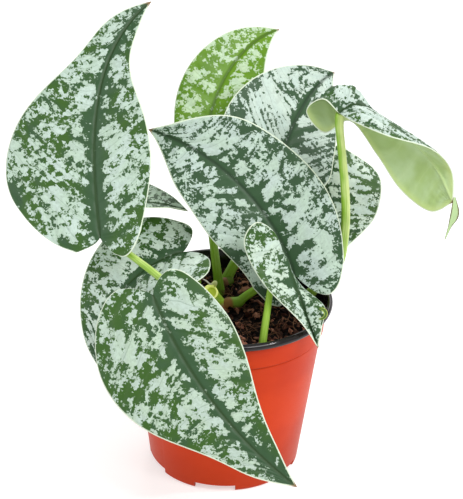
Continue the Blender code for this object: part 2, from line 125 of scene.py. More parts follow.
# Pattern of the blades: weights of deep green, and sizes
CELL_SIZE = 1.6
SPECK_SIZE = 0.9
CELL_RAGGED = 1.3
BAND_TONE = 0.24
TONGUE_TONE = 0.30
TONGUE_REACH = 3.2
TONGUE_EASE = 3.0
RIBBING_WIDTH = 0.45
RIBBING_LEAST = 0.4
RIBBING_MEAN = 0.25
RIBBING_START = (2.0, 8.0)
BETWEEN_WIDTH = 0.30
BETWEEN_SHARE = 0.7
SILVER_TIP = (0.6, 0.9)
RIM_TONE = 0.07
RIM_TONE_PLACE = 3.0
RIM_TONE_WIDTH = 2.5
MOST_VEINS = 200                            # on one side of a blade
DRY_TIP = (0.975, 0.992)                    # where the tip turns brown, in shares of the length

# Colours that several materials share
TIP_BROWN = (0.20, 0.11, 0.04)
SCAR_BROWN = (0.30, 0.10, 0.030)
STEM_GREEN = (0.200, 0.375, 0.026)

HEART = (
    (0.0, 0.0), (-0.055, 0.10), (-0.125, 0.30), (-0.145, 0.55), (-0.085, 0.82), (0.06, 0.98),
    (0.24, 1.0), (0.43, 0.89), (0.62, 0.66), (0.79, 0.38), (0.91, 0.155), (0.97, 0.05), (1.0, 0.0),
)


@dataclass
class Look:
    """How one blade is coloured: lengths in millimetres on the blade."""
    dark: tuple = (0.034, 0.092, 0.012)      # deep green of the plain tissue
    dark_cool: tuple = (0.030, 0.075, 0.030)
    silver: tuple = (0.440, 0.565, 0.450)
    silver_cool: tuple = (0.465, 0.575, 0.515)
    under: tuple = (0.280, 0.400, 0.170)
    cover: float = 0.05                     # more gives more silver
    silver_tip: float = 0.0                 # extra silver towards the tip
    patches: tuple = ()                     # side, along, across, size, lean to green
    band: tuple = (5.0, 4.6, 2.6)           # dark band beside the midrib: base, middle, tip
    patch: float = 4.8                      # size of the patches
    stripe: tuple = (4.0, 12.0)             # size of the stripes across and along the side veins
    streak: float = 0.30                    # strength of the stripes
    veins: float = 0.10                     # dark tissue along the side veins
    sweep: float = 1.7                      # how far the side veins lean to the tip
    speck: float = 0.5                      # dark dots near the margin
    seed: float = 0.0


@dataclass
class Leaf:
    """One blade and its petiole. Pairs are (left, right) seen from the base towards the tip,
    or (at the base, at the tip); triples are (at the base, at 40 % of the length, at the tip)."""
    name: str
    base: tuple
    heading: float
    climb: float
    roll: float
    length: float
    half_width: tuple
    lobe: tuple
    shoulder: tuple
    point: tuple
    taper: tuple
    droop: tuple
    swing: tuple
    foot: tuple
    path: tuple
    foot_radius: float = 2.4
    fold: tuple = ((12, 12, 12), (12, 12, 12))
    curl: tuple = ((-20, -16, -10), (-20, -16, -10))
    wave_phase: float = 0.0
    tip_radius: float = 1.7
    look: Look = field(default_factory=Look)


@dataclass
class FoldedLeaf:
    """A strongly folded blade between three smooth curves that share its base and its tip."""
    name: str
    base: tuple
    tip: tuple
    midrib: tuple
    left_margin: tuple
    right_margin: tuple
    gather: tuple
    arch: tuple
    arch_place: float
    arch_spread: float
    sway: tuple
    crown: tuple
    joint: tuple
    face: tuple
    foot: tuple
    path: tuple
    foot_radius: float
    tip_radius: float
    look: Look = field(default_factory=Look)


LEAVES = (
    Leaf("upper_left", base=(-71, -15, 146), heading=-14, climb=49, roll=18, length=150,
         half_width=(53, 34), lobe=(0.3, 0.6), shoulder=(-0.6, -0.3), point=(-0.4, -0.3),
         taper=(1.0, 0.9), droop=(5, 25), swing=(-10, -122),
         fold=((10, 10, 10), (15, 15, 15)), wave_phase=0.4,
         foot=(-25, -12), path=((-26, -28, 109), (-28, -39, 122), (-33, -38, 131), (-58, -17, 140)),
         foot_radius=2.5,
         look=Look(band=(5.0, 4.0, 1.2), cover=0.01, silver=(0.410, 0.530, 0.425),
                   silver_tip=0.08, seed=3.0,
                   patches=((1, 0.45, 0.4, 14, -0.12), (1, 0.2, 0.5, 11, -0.08),
                            (0, 0.6, 0.3, 11, -0.10), (0, 0.25, 0.5, 10, -0.08),
                            (0, 0.4, 0.85, 12, 0.08)))),
    Leaf("lower_left", base=(-40, -48, 129), heading=144, climb=-48, roll=-32, length=130,
         half_width=(33, 46), lobe=(0.5, 0.5), shoulder=(-0.28, -0.33), point=(-0.12, -0.25),
         taper=(1.0, 1.05), droop=(12, 12), swing=(30, 32),
         fold=((6, 6, 6), (6, 6, 6)), wave_phase=1.9,
         foot=(-12, -18), path=((-15, -34, 107), (-26, -45, 116)),
         look=Look(silver=(0.410, 0.525, 0.405), silver_cool=(0.420, 0.520, 0.460),
                   band=(4.0, 4.0, 2.4), streak=0.45, cover=0.015, seed=11.0,
                   patches=((0, 0.2, 0.5, 12, -0.12), (0, 0.5, 0.5, 10, -0.10), (0, 0.37, 0.5, 6, 0.12),
                            (1, 0.3, 0.3, 12, -0.08), (1, 0.45, 0.8, 12, 0.05)))),
    Leaf("centre", base=(37, -10, 124), heading=-48, climb=65, roll=42, length=122,
         half_width=(33, 37), lobe=(0.8, 0.9), shoulder=(-0.25, -0.2), point=(0.15, 0.25),
         taper=(0.7, 0.9), droop=(26, 26), swing=(60, 45), wave_phase=3.1,
         foot=(5, 5), path=((15, 9, 103), (28, 8, 111)), foot_radius=2.8,
         look=Look(dark=(0.030, 0.070, 0.030), silver=(0.430, 0.550, 0.450),
                   silver_cool=(0.445, 0.545, 0.500), band=(4.4, 4.6, 0.6), streak=0.50, veins=0.14,
                   cover=0.03, silver_tip=0.06, speck=0.8, seed=23.0,
                   patches=((0, 0.3, 0.5, 12, -0.06), (1, 0.35, 0.5, 16, -0.10),
                            (0, 0.65, 0.6, 9, -0.06)))),
    Leaf("top_lime", base=(-15, 64, 177), heading=12, climb=55, roll=-13, length=84,
         half_width=(23, 28), lobe=(1.0, 1.0), shoulder=(-0.1, 0.0), point=(0.05, 0.0),
         taper=(0.85, 1.0), droop=(8, 40), swing=(-40, -85), wave_phase=2.2,
         foot=(-5, 21), path=((-9, 25, 124), (-14, 42, 152)), foot_radius=2.8,
         look=Look(dark=(0.085, 0.200, 0.006), dark_cool=(0.110, 0.240, 0.008),
                   silver=(0.480, 0.620, 0.400), silver_cool=(0.480, 0.630, 0.450),
                   patch=4.0, band=(3.8, 2.4, 1.0), streak=0.50, cover=0.035, seed=31.0)),
    Leaf("top_silver", base=(27, 30, 175), heading=19, climb=35, roll=-28, length=80,
         half_width=(39, 29), lobe=(1.0, 1.0), shoulder=(0.0, 0.15), point=(0.0, -0.05),
         taper=(1.0, 1.1), droop=(2, 52), swing=(-12, -65), wave_phase=0.1,
         foot=(-2, 31), path=((5, 32, 112), (18, 30, 142)), foot_radius=3.4,
         look=Look(dark=(0.028, 0.070, 0.030), silver=(0.50, 0.60, 0.52), stripe=(9.0, 30.0),
                   band=(3.0, 2.6, 1.5), streak=0.8, veins=0.40, sweep=2.4, patch=9.0, cover=0.06,
                   seed=43.0)),
    Leaf("right_lower", base=(51, 46, 166), heading=153, climb=-44, roll=-14, length=54,
         half_width=(33, 27), lobe=(1.15, 1.15), shoulder=(-0.33, 0.0), point=(0.15, 0.0),
         taper=(0.95, 1.0), droop=(10, 30), swing=(-12, -10), wave_phase=2.7,
         foot=(33, 27), path=((40, 44, 120), (47, 56, 148)), foot_radius=2.3,
         look=Look(silver=(0.60, 0.70, 0.58), patch=4.5, stripe=(5.0, 16.0), band=(2.0, 2.0, 1.0),
                   streak=0.5, veins=0.30, cover=0.07, seed=57.0)),
    Leaf("left_middle", base=(-26, 4, 129), heading=-107, climb=-10, roll=15, length=92,
         half_width=(35, 34), lobe=(0.8, 0.7), shoulder=(0.05, -0.33), point=(0.0, -0.1),
         taper=(1.0, 1.05), droop=(65, 115), swing=(45, 25),
         fold=((24, 24, 24), (24, 24, 24)), wave_phase=3.8,
         foot=(-17, 17), path=((-18, 12, 108), (-20, 6, 118)), foot_radius=2.3,
         look=Look(silver=(0.52, 0.62, 0.54), patch=5.0, band=(4.0, 4.0, 2.5), streak=0.5,
                   veins=0.16, cover=0.045, seed=67.0)),
    Leaf("left_small", base=(-67, 15, 153), heading=83, climb=4, roll=0, length=44,
         half_width=(25, 10), lobe=(1.0, 1.0), shoulder=(0.0, 0.0), point=(0.0, 0.0),
         taper=(1.0, 1.0), droop=(14, 42), swing=(-8, -6), wave_phase=1.5,
         foot=(-27, 33), path=((-44, 38, 118), (-63, 28, 140)), foot_radius=2.1,
         look=Look(patch=3.5, band=(1.6, 1.4, 1.0), cover=0.03, seed=79.0)),
    FoldedLeaf(
        "front_small", base=(29, -20, 143), tip=(50, -50, 100),
        midrib=((33, -21, 138), (36, -25, 128), (43, -37, 114)),
        left_margin=((29, -13, 140), (33, -13, 131), (41, -20, 122), (53, -35, 118), (52, -44, 111)),
        right_margin=((24, -19, 155), (14, -19, 160), (8, -24, 149), (19, -33, 130), (40, -43, 112)),
        gather=(2.0, 1.5, 1.2), arch=(0, -2, 2), arch_place=0.8, arch_spread=0.12, sway=(0, 0, 0),
        crown=(0, -1.5, 1), joint=(27.5, -19.3, 142.3), face=(0.2, -0.1, 0.97), foot=(20, -38),
        path=((21.5, -33, 108), (23.5, -25, 122)),
        foot_radius=2.3, tip_radius=1.6,
        look=Look(silver=(0.52, 0.64, 0.52), patch=4.0, band=(2.0, 2.0, 1.2), cover=0.06, seed=83.0)),
    FoldedLeaf(
        "right_folded", base=(57, 2, 217), tip=(123, -3, 168),
        midrib=((67, 4, 221), (81, 3, 215), (108, -1, 193)),
        left_margin=((48, 3, 224), (40, 9, 214), (51, 19, 198), (65, 17, 206), (80, 8, 190),
                     (94, 5, 171), (111, 1, 160)),
        right_margin=((64, -10, 217), (82, -22, 214), (107, -15, 204), (120, -6, 188)),
        gather=(3.0, 1.2, 1.9), arch=(0, 1, 18), arch_place=0.38, arch_spread=0.19, sway=(1, 3, 0),
        crown=(0, 0, 2), joint=(57.8, 2.6, 216.6), face=(0, 0, 1), foot=(44, 11),
        path=((50, 10, 105), (62, 8, 120), (65, 8, 142), (64, 6, 165), (61, 4, 188)),
        foot_radius=2.9, tip_radius=2.2,
        look=Look(silver=(0.52, 0.62, 0.55), patch=3.5, band=(1.6, 2.0, 1.6), cover=0.07,
                  under=(0.310, 0.435, 0.155), seed=97.0)),
)

# The pot's finish: the groove under its band, the roll of its lip, where its lining starts
SEAM_DEPTH = 0.35
LIP_ROLL = 2.0
LINING_START = 0.3
LINING_FLOOR = 0.25                         # share of the floor's thickness under its lining
WALL_HEIGHTS = (0, 5, 87, 101)
WALL_RADII = (40, 43.4, 53.7, 55.9)         # between the lining and the outside

# Coir chips: share of each kind, and their spread of sizes
CHIP_KINDS = (0.22, 0.60, 0.18)
CHIP_SPREAD = 0.45
CHIP_SIZES = (0.4, 2.0)
CHIP_LENGTHS = (1.0, 1.9)
CHIP_WIDTHS = (0.6, 1.0)
CHIP_HEIGHTS = (0.28, 0.6)
CHIP_LUMPS = 0.28
CHIP_TILT = 0.5

# Coir fibres
FIBRE_LENGTHS = (5, 20)
FIBRE_RADII = (0.12, 0.30)
FIBRE_STEPS = 9
FIBRE_FEWEST = 4
FIBRE_SIDES = 5
FIBRE_BEND = 0.28
FIBRE_LIFT = 1.6
FIBRE_ARCH = 1.2
FIBRE_THINNING = 0.6

# Petioles: their swellings as place, width and rise, in shares of the length and the radius
JOINT_PLACE = 0.025
KNEE_LENGTH = 7.0
PETIOLE_POINTS = 44
PETIOLE_START = 2.5                         # over the soil
PETIOLE_SWELLINGS = ((0.97, 0.03, 0.12), (0.06, 0.07, 0.25))

# The cut end of the old vine; a girth is given as shares of the length and radii
VINE_POINTS = 40
VINE_FOOT = (-3, 3)
VINE_PATH = ((-4.5, 4, 97), (-7.5, 5.5, 100), (-10, 6.5, 103))
VINE_MOUTH = (-0.4, -0.45, 0.8)
SHEATH_WALL = 0.9
SHEATH_INNER_RINGS = 4
SHEATH_START = 0.55
VINE_GIRTH = ((0, 0.35, 0.45, 0.6, 0.85, 1.0), (3.0, 3.4, 4.4, 3.4, 3.6, 4.0))
GROOVE_DEPTH = 0.22

# The dried tendril's route, from the sheath's mouth over its knob
TENDRIL = ((-7.5, 8.5, 105), (-7.5, 8, 108), (-10, 7, 107.5), (-12.5, 6, 110), (-14.5, 5.5, 111.5))
TENDRIL_RADII = (0.7, 1.3, 0.5, 0.45, 0.3)
TENDRIL_SIDES = 10
STUB = ((2, 30, 99), (-3, 27, 98))
STUB_GIRTH = ((0, 0.8, 0.93, 1.0), (2.6, 2.8, 2.6, 2.0))
VINE_NODE = ((-4, 2, 95), (0, 3, 97), (5, 5, 97), (9, 7, 98))
NODE_GIRTH = ((0, 0.12, 0.4, 0.8, 1.0), (1.6, 3.0, 3.9, 3.1, 2.2))

# The dried drip tip hangs from the folded leaf, and the small front leaf's margin curls in an arc
DRIP = ((123, -3, 171), (124, -3, 161), (122, -3, 153), (120, -3, 145))
DRIP_WIDTHS = (1.5, 5.0, 2.0, 0.5)
CURL_CENTRE = (50, -43.5, 118)
CURL_RADIUS = 3.2
CURL_HALF_ANGLE = 95
CURL_WIDTH = 2.4
STRIP_POINTS = 30
STRIP_THICKNESS = 0.5
STRIP_SPREAD = (-1.0, -0.66, -0.33, 0.0, 0.33, 0.66, 1.0)

# Stage, in metres: each light's name, place, aim, size and share of the key light's power
FLOOR_SIZE = 6.0
FLOOR_DROP = 0.0002
CAMERA_REACH = (0.02, 20.0)
LIGHT_AIM = (0.0, 0.0, 0.13)
LIGHTS = (
    ("key_softbox", (0.65, -0.75, 1.15), LIGHT_AIM, 0.7, 1.0),
    ("fill_softbox", (-1.0, -0.6, 0.9), LIGHT_AIM, 1.0, 0.45),
    ("back_softbox", (0.3, 1.0, 1.0), LIGHT_AIM, 0.9, 0.4),
    ("rim_softbox", (-0.15, 0.8, 1.1), LIGHT_AIM, 0.22, 0.12),
    ("lip_glint", (0.52, -0.13, 1.07), (0.03, -0.05, 0.105), 0.035, 0.17),
)
SENSOR_WIDTH = 36.0                         # millimetres
FRAME_PIXELS = 499.0


# Settings

class PothosPot(bpy.types.PropertyGroup):
    segments: IntProperty(name="Segments", description="Facets round the pot", default=144, min=24)
    outside: FloatVectorProperty(name="Outside", description="Colour of the pot's outside",
                                 subtype="COLOR", default=(0.56, 0.042, 0.004))
    inside: FloatVectorProperty(name="Inside", description="Colour of the lining and the lip",
                                subtype="COLOR", default=(0.010, 0.008, 0.008))
    lip_gloss: FloatProperty(name="Lip roughness", description="Roughness of the rolled lip",
                             subtype="FACTOR", default=0.07, min=0.0, max=1.0)


class PothosSoil(bpy.types.PropertyGroup):
    chips: IntProperty(name="Chips", description="Number of coir chips on the soil", default=1700)
    fibres: IntProperty(name="Fibres", description="Number of loose fibres", default=230)
    chip_size: FloatProperty(name="Chip size", description="Usual size of a chip",
                             subtype="DISTANCE", unit="LENGTH", default=0.0021)
    earth: FloatVectorProperty(name="Earth", description="Colour of the fine soil",
                               subtype="COLOR", default=(0.0035, 0.0016, 0.0012))
    chip: FloatVectorProperty(name="Chip", description="Usual colour of a chip",
                              subtype="COLOR", default=(0.050, 0.015, 0.008))


class PothosBlades(bpy.types.PropertyGroup):
    row: FloatProperty(name="Row", description="Mesh spacing along a blade", subtype="DISTANCE",
                       unit="LENGTH", default=0.0008, min=0.0002)
    column: FloatProperty(name="Column", description="Mesh spacing across a blade",
                          subtype="DISTANCE", unit="LENGTH", default=0.0012, min=0.0002)
    vein_spacing: FloatProperty(name="Vein spacing", description="Distance between side veins",
                                subtype="DISTANCE", unit="LENGTH", default=0.0105)
    quilting: FloatProperty(name="Quilting", description="Rise of the tissue between side veins",
                            subtype="DISTANCE", unit="LENGTH", default=0.00070)
    groove: FloatProperty(name="Midrib groove", description="Depth of the groove over the midrib",
                          subtype="DISTANCE", unit="LENGTH", default=0.0005)
    rim: FloatVectorProperty(name="Margin", description="Colour of the thin pale margin",
                             subtype="COLOR", default=(0.62, 0.70, 0.55))


class PothosStems(bpy.types.PropertyGroup):
    sides: IntProperty(name="Sides", description="Facets round each stem", default=24, min=8)
    stem: FloatVectorProperty(name="Stem", description="Colour of the petioles",
                              subtype="COLOR", default=STEM_GREEN)
    stem_pale: FloatVectorProperty(name="Pale stem", description="Pale side of the petioles",
                                   subtype="COLOR", default=(0.560, 0.670, 0.250))


class PothosStage(bpy.types.PropertyGroup):
    distance: FloatProperty(name="Distance", description="From the camera to its aim",
                            subtype="DISTANCE", unit="LENGTH", default=0.9)
    elevation: FloatProperty(name="Elevation", description="Camera's height over the horizon",
                             subtype="ANGLE", unit="ROTATION", default=math.radians(26.6))
    roll: FloatProperty(name="Roll", description="Camera's turn about its view",
                        subtype="ANGLE", unit="ROTATION", default=math.radians(1.6))
    focal_pixels: FloatProperty(name="Focal length", description="In pixels of a 499 pixel frame",
                                default=1602.0)
    aim: FloatVectorProperty(name="Aim", description="Point in the middle of the picture",
                             subtype="TRANSLATION", unit="LENGTH", default=(0.0014, 0.0, 0.1336))
    floor: FloatVectorProperty(name="Floor", description="Colour of the floor", subtype="COLOR",
                               default=(0.62, 0.62, 0.62))
    glow: FloatProperty(name="Floor glow", description="Light that the table gives from below",
                        default=0.52, min=0.0)
    key_power: FloatProperty(name="Key light", description="Power of the main softbox",
                             unit="POWER", default=12.5)
    sky: FloatProperty(name="Sky", description="Strength of the even white surround", default=0.60)


class PothosSettings(bpy.types.PropertyGroup):
    pot: PointerProperty(type=PothosPot)
    soil: PointerProperty(type=PothosSoil)
    blades: PointerProperty(type=PothosBlades)
    stems: PointerProperty(type=PothosStems)
    stage: PointerProperty(type=PothosStage)


# Nodes of the materials

def scaled(colour, factor):
    return tuple(factor * c for c in colour)


class Paint:
    """A material in the making: its shader and the nodes that feed it."""

    def __init__(self, name):
        self.material = bpy.data.materials.new(name)
        self.material.use_nodes = True
        self.tree = self.material.node_tree
        self.shader = self.tree.nodes["Principled BSDF"]

    def feed(self, socket, value):
        """Links another node's output to a socket, or sets the socket to a plain value."""
        if isinstance(value, bpy.types.NodeSocket):
            self.tree.links.new(value, socket)
        elif socket.type == "RGBA":
            socket.default_value = (*value, 1.0)
        else:
            socket.default_value = value

    def node(self, kind, inputs=None, **settings):
        """Adds a node and returns its outputs."""
        made = self.tree.nodes.new(kind)
        for key, value in settings.items():
            setattr(made, key, value)
        for key, value in (inputs or {}).items():
            self.feed(made.inputs[key], value)
        return made.outputs

    def calc(self, operation, *values):
        return self.node("ShaderNodeMath", dict(enumerate(values)), operation=operation)[0]

    def plus(self, first, second):
        return self.calc("ADD", first, second)

    def minus(self, first, second):
        return self.calc("SUBTRACT", first, second)

    def times(self, first, second):
        return self.calc("MULTIPLY", first, second)

    def stretch(self, vector, scale):
        return self.node("ShaderNodeVectorMath", {0: vector, 1: scale}, operation="MULTIPLY")[0]

    def value(self, name):
        return self.node("ShaderNodeAttribute", attribute_name=name)["Fac"]

    def vector(self, name):
        return self.node("ShaderNodeAttribute", attribute_name=name)["Vector"]

    def part(self, vector, axis):
        return self.node("ShaderNodeSeparateXYZ", {"Vector": vector})[axis]

    def place(self):
        """Position in the object's own frame, in millimetres."""
        return self.stretch(self.node("ShaderNodeTexCoord")["Object"], (1 / MM, 1 / MM, 1 / MM))

    def clouds(self, vector, scale, detail, roughness=0.5):
        """Noise from 0 to 1; the scale is one number, or one for each axis."""
        if isinstance(scale, tuple):
            vector, scale = self.stretch(vector, scale), 1.0
        return self.node("ShaderNodeTexNoise", {
            "Vector": vector, "Scale": scale, "Detail": detail, "Roughness": roughness})["Fac"]

    def step(self, value, low, high):
        """0 below low and 1 above high, smooth between them."""
        return self.node("ShaderNodeMapRange", {"Value": value, "From Min": low, "From Max": high},
                         interpolation_type="SMOOTHSTEP")["Result"]

    def fall(self, value, low, high):
        """1 below low and 0 above high, smooth between them."""
        return self.minus(1.0, self.step(value, low, high))

    def span(self, value, low, high, first, last):
        """Runs from first to last while the value runs from low to high."""
        return self.node("ShaderNodeMapRange", {
            "Value": value, "From Min": low, "From Max": high,
            "To Min": first, "To Max": last})["Result"]

    def mix(self, share, first, second):
        return self.node("ShaderNodeMix", {0: share, 6: first, 7: second}, data_type="RGBA")[2]

    def coats(self, colour, *coats):
        """A colour under coats, each given by its share, its colour and its strength."""
        for share, other, strength in coats:
            if strength != 1:
                share = self.times(share, strength)
            colour = self.mix(share, colour, other)
        return colour

    def glow(self, colour, strength):
        self.feed(self.shader.inputs["Emission Color"], colour)
        self.feed(self.shader.inputs["Emission Strength"], strength)

    def finish(self, colour, height, strength, depth, roughness, specular):
        """Connects colour, bump and gloss and returns the material."""
        normal = self.node("ShaderNodeBump", {
            "Height": height, "Strength": strength, "Distance": depth})["Normal"]
        for name, value in (("Base Color", colour), ("Normal", normal), ("Roughness", roughness),
                            ("Specular IOR Level", specular)):
            self.feed(self.shader.inputs[name], value)
        return self.material


# Meshes and objects

def finished_mesh(bm, name):
    mesh = bpy.data.meshes.new(name)
    bm.to_mesh(mesh)
    bm.free()
    return mesh


def add_object(name, data):
    item = bpy.data.objects.new(name, data)
    bpy.context.scene.collection.objects.link(item)
    return item


def add_piece(name, mesh, materials, slot, *stands_for):
    piece = add_object(name, mesh)
    for material in materials:
        mesh.materials.append(material)
    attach(piece, "root")
    if stands_for:
        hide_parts(*stands_for)


# Curves and blade surfaces

def smooth_curve(points, count):
    """Catmull-Rom curve through the points, read at evenly spaced parameters."""
    points = np.asarray(points, float)
    ends = np.vstack([2 * points[0] - points[1], points, 2 * points[-1] - points[-2]])
    spans = len(points) - 1
    places = np.linspace(0, spans, count)
    index = np.minimum(places.astype(int), spans - 1)
    t = (places - index)[:, None]
    a, b, c, d = ends[index], ends[index + 1], ends[index + 2], ends[index + 3]
    cubic = 2 * b + (c - a) * t + (2 * a - 5 * b + 4 * c - d) * t ** 2
    return 0.5 * (cubic + (3 * b - a - 3 * c + d) * t ** 3)


def smooth_values(values, count):
    return smooth_curve([(value, 0.0) for value in values], count)[:, 0]


def polar(radius, angle):
    return radius * math.cos(angle), radius * math.sin(angle)


def turn(vector, axis, angle):
    """Rodrigues' rotation of a vector about a unit axis."""
    along = axis * np.dot(axis, vector) * (1 - math.cos(angle))
    return vector * math.cos(angle) + np.cross(axis, vector) * math.sin(angle) + along


def start_frame(leaf):
    """Directions at the leaf's base: along the midrib, out of the upper face, to the left."""
    heading, climb, roll = (math.radians(a) for a in (leaf.heading, leaf.climb, leaf.roll))
    level = np.array([math.sin(heading), math.cos(heading), 0.0])
    up = np.array([0.0, 0.0, 1.0])
    along = level * math.cos(climb) + up * math.sin(climb)
    upper = up * math.cos(climb) - level * math.sin(climb)
    left = np.cross(upper, along)
    return (along, upper * math.cos(roll) + left * math.sin(roll),
            left * math.cos(roll) - upper * math.sin(roll))


def march(leaf, end, steps):
    """Walks the midrib from the base to a share of its length, turning its frame as it goes."""
    along, upper, left = start_frame(leaf)
    place = np.array(leaf.base, float)
    pace = end / steps
    rows = [(0.0, place, upper, left)]
    for index in range(steps):
        share = (index + 0.5) * pace
        growth = max(share, 0.0) ** BEND_GROWTH
        droop, swing = (np.radians(first + (last - first) * growth) if share > 0 else 0.0
                        for first, last in (leaf.droop, leaf.swing))
        spin = (droop * left + swing * upper) * pace
        angle = float(np.linalg.norm(spin))
        ahead = along
        if angle > 1e-12:
            axis = spin / angle
            ahead, upper, left = (turn(v, axis, angle) for v in (along, upper, left))
        place = place + 0.5 * (along + ahead) * pace * leaf.length
        along = ahead
        rows.append(((index + 1) * pace, place, upper, left))
    return rows


def midrib(leaf):
    back = march(leaf, -LOBE_REACH, LOBE_STEPS)
    rows = back[:0:-1] + march(leaf, 1.0, MIDRIB_STEPS)
    return [np.array([row[k] for row in rows]) for k in range(4)]


def ramp(value, start, end):
    """0 up to the start and 1 from the end on, straight between them."""
    return np.clip((value - start) / (end - start), 0, 1)


def running(steps):
    """Share of the whole covered at each point of a run."""
    run = np.concatenate([[0.0], np.cumsum(steps)])
    return run / run[-1]


def path_shares(points):
    """Share of a line's length at each of its points."""
    return running(np.linalg.norm(np.diff(points, axis=0), axis=1))


def margin(leaf, side, count):
    """Flat margin points of one half, closer together where the margin turns."""
    x, y = smooth_curve(HEART, 600).T
    u = running(np.hypot(np.diff(x), 0.3 * np.diff(y)))
    shoulder, point = (np.exp(-((u - place) / spread) ** 2)
                       for place, spread in (SHOULDER_PLACE, POINT_PLACE))
    y = y * (1 + leaf.shoulder[side] * shoulder + leaf.point[side] * point)
    ease = ramp(x, -LOBE_BLEND, LOBE_BLEND)
    ease = ease * ease * (3 - 2 * ease)
    x = np.where(x < 0, x, np.clip(x, 1e-9, None) ** leaf.taper[side])
    x = x * (leaf.lobe[side] + (1 - leaf.lobe[side]) * ease)
    dx = np.diff(x) * leaf.length
    dy = np.diff(y) * leaf.half_width[side]
    turning = np.abs(np.diff(np.unwrap(np.arctan2(dy, dx)), prepend=0.0))
    turning[0] = 0.0
    steps = np.hypot(dx, dy)
    run = running(steps / steps.sum() + MARGIN_CARE * turning / turning.sum())
    places = np.linspace(0, 1, count)
    return np.interp(places, run, x), np.interp(places, run, y)


def columns_at(x, stations, table):
    """Reads the columns of a table of 3-D values at x."""
    return np.stack([np.interp(x, stations, table[:, k]) for k in range(3)], -1)


def bend(leaf, spine, x, across, side):
    """Places flat points: x over the length, across over the half width, side 0 left or 1 right."""
    stations, places, uppers, lefts = spine
    spot, upper, left = (columns_at(x, stations, table) for table in (places, uppers, lefts))
    upper /= np.linalg.norm(upper, axis=-1, keepdims=True)
    left /= np.linalg.norm(left, axis=-1, keepdims=True)
    inside = np.clip(x, 0, 1)
    fold = np.radians(np.interp(inside, (0, 0.4, 1), leaf.fold[side]))
    curl = np.radians(np.interp(inside, (0, 0.4, 1), leaf.curl[side]))
    curl = np.where(np.abs(curl) < 1e-4, 1e-4, curl)
    lean = fold + curl * across
    width = leaf.half_width[side]
    sideways = width / curl * (np.sin(lean) - np.sin(fold))
    lift = width / curl * (np.cos(fold) - np.cos(lean))
    phase = 2 * math.pi * EDGE_WAVES_PER_BLADE * x + leaf.wave_phase + 1.3 * side
    lift = lift + EDGE_WAVE * np.sin(phase) * across ** 2
    sign = 1 if side == 0 else -1
    return spot + sign * sideways[..., None] * left + lift[..., None] * upper


def half_grid(leaf, spine, side, rows, columns):
    """Rows follow the side veins from the midrib to the margin, the first and last are points."""
    both = [margin(leaf, half, rows + 2) for half in (0, 1)]
    reach = np.clip((both[0][0] + both[1][0]) / 2 - VEIN_LEAD, 0, None) / (1 - VEIN_LEAD)
    even = np.linspace(0, 1, rows + 2)
    root = (0.08 * even + 0.92 * reach ** 1.2)[:, None]
    margin_x, margin_y = (values[:, None] for values in both[side])
    v = np.linspace(0, 1, columns + 1)[None, :]
    x = root + (margin_x - root) * v - VEIN_BOW * v * (1 - v) * np.abs(margin_y)
    return bend(leaf, spine, x, margin_y * v, side)


def along_curve(points, shares):
    """Smooth curve through the points, read at shares of its length."""
    fine = smooth_curve(points, CURVE_STEPS)
    return columns_at(shares, path_shares(fine), fine)


def folded_halves(leaf, rows, columns):
    """The left half arches from the midrib over to its margin, the right half is nearly flat."""
    u = np.linspace(0, 1, rows + 2)
    runs = (leaf.midrib, leaf.left_margin, leaf.right_margin)
    middle, left_margin, right_margin = (
        along_curve((leaf.base, *run, leaf.tip), u ** gather)[:, None]
        for run, gather in zip(runs, leaf.gather))
    ends = np.sin(math.pi * u)[:, None, None]
    hump = np.exp(-((u - leaf.arch_place) / leaf.arch_spread) ** 2)[:, None, None]
    arch = hump * np.clip(4 * ends, 0, 1) * np.array(leaf.arch, float)
    arch = arch + ends * np.array(leaf.sway, float)
    v = np.linspace(0, 1, columns + 1)[None, :, None]
    left = middle + (left_margin - middle) * v + arch * (4 * v * (1 - v)) ** ARCH_ROUNDNESS
    widths = np.linalg.norm(right_margin - middle, axis=-1, keepdims=True)
    rise = 4 * v * (1 - v) * widths / widths.max() * np.array(leaf.crown, float)
    right = middle + (right_margin - middle) * v + rise
    return left, right


def blade_halves(leaf, rows, columns):
    if isinstance(leaf, FoldedLeaf):
        return folded_halves(leaf, rows, columns)
    spine = midrib(leaf)
    return half_grid(leaf, spine, 0, rows, columns), half_grid(leaf, spine, 1, rows, columns)


def lengths_along(points, axis):
    """Running length of a grid's lines along one of its axes."""
    steps = np.linalg.norm(np.diff(points, axis=axis), axis=-1)
    pad = [(0, 0), (0, 0)]
    pad[axis] = (1, 0)
    return np.cumsum(np.pad(steps, pad), axis=axis)


def grid_normals(points):
    """Unit normals of a grid, out of the upper face."""
    along = np.gradient(points, axis=0)
    across = np.gradient(points, axis=1)
    normals = np.cross(along, across)
    size = np.linalg.norm(normals, axis=-1, keepdims=True)
    normals = normals / np.where(size > FLAT, size, 1.0)
    middle = points.shape[1] // 2
    normals[0], normals[-1] = normals[1, middle], normals[-2, middle]
    for row in range(1, len(points) - 1):
        normals[row, size[row, :, 0] <= FLAT] = normals[row, middle]
    return normals


def grid_size(leaf, settings):
    """Rows and columns that keep a blade's mesh near the chosen spacing."""
    halves = blade_halves(leaf, 40, 8)
    length = lengths_along(halves[0][:, :1], 0)[-1, 0]
    width = max(lengths_along(half, 1)[:, -1].max() for half in halves)
    return int(length * MM / settings.row), int(width * MM / settings.column)


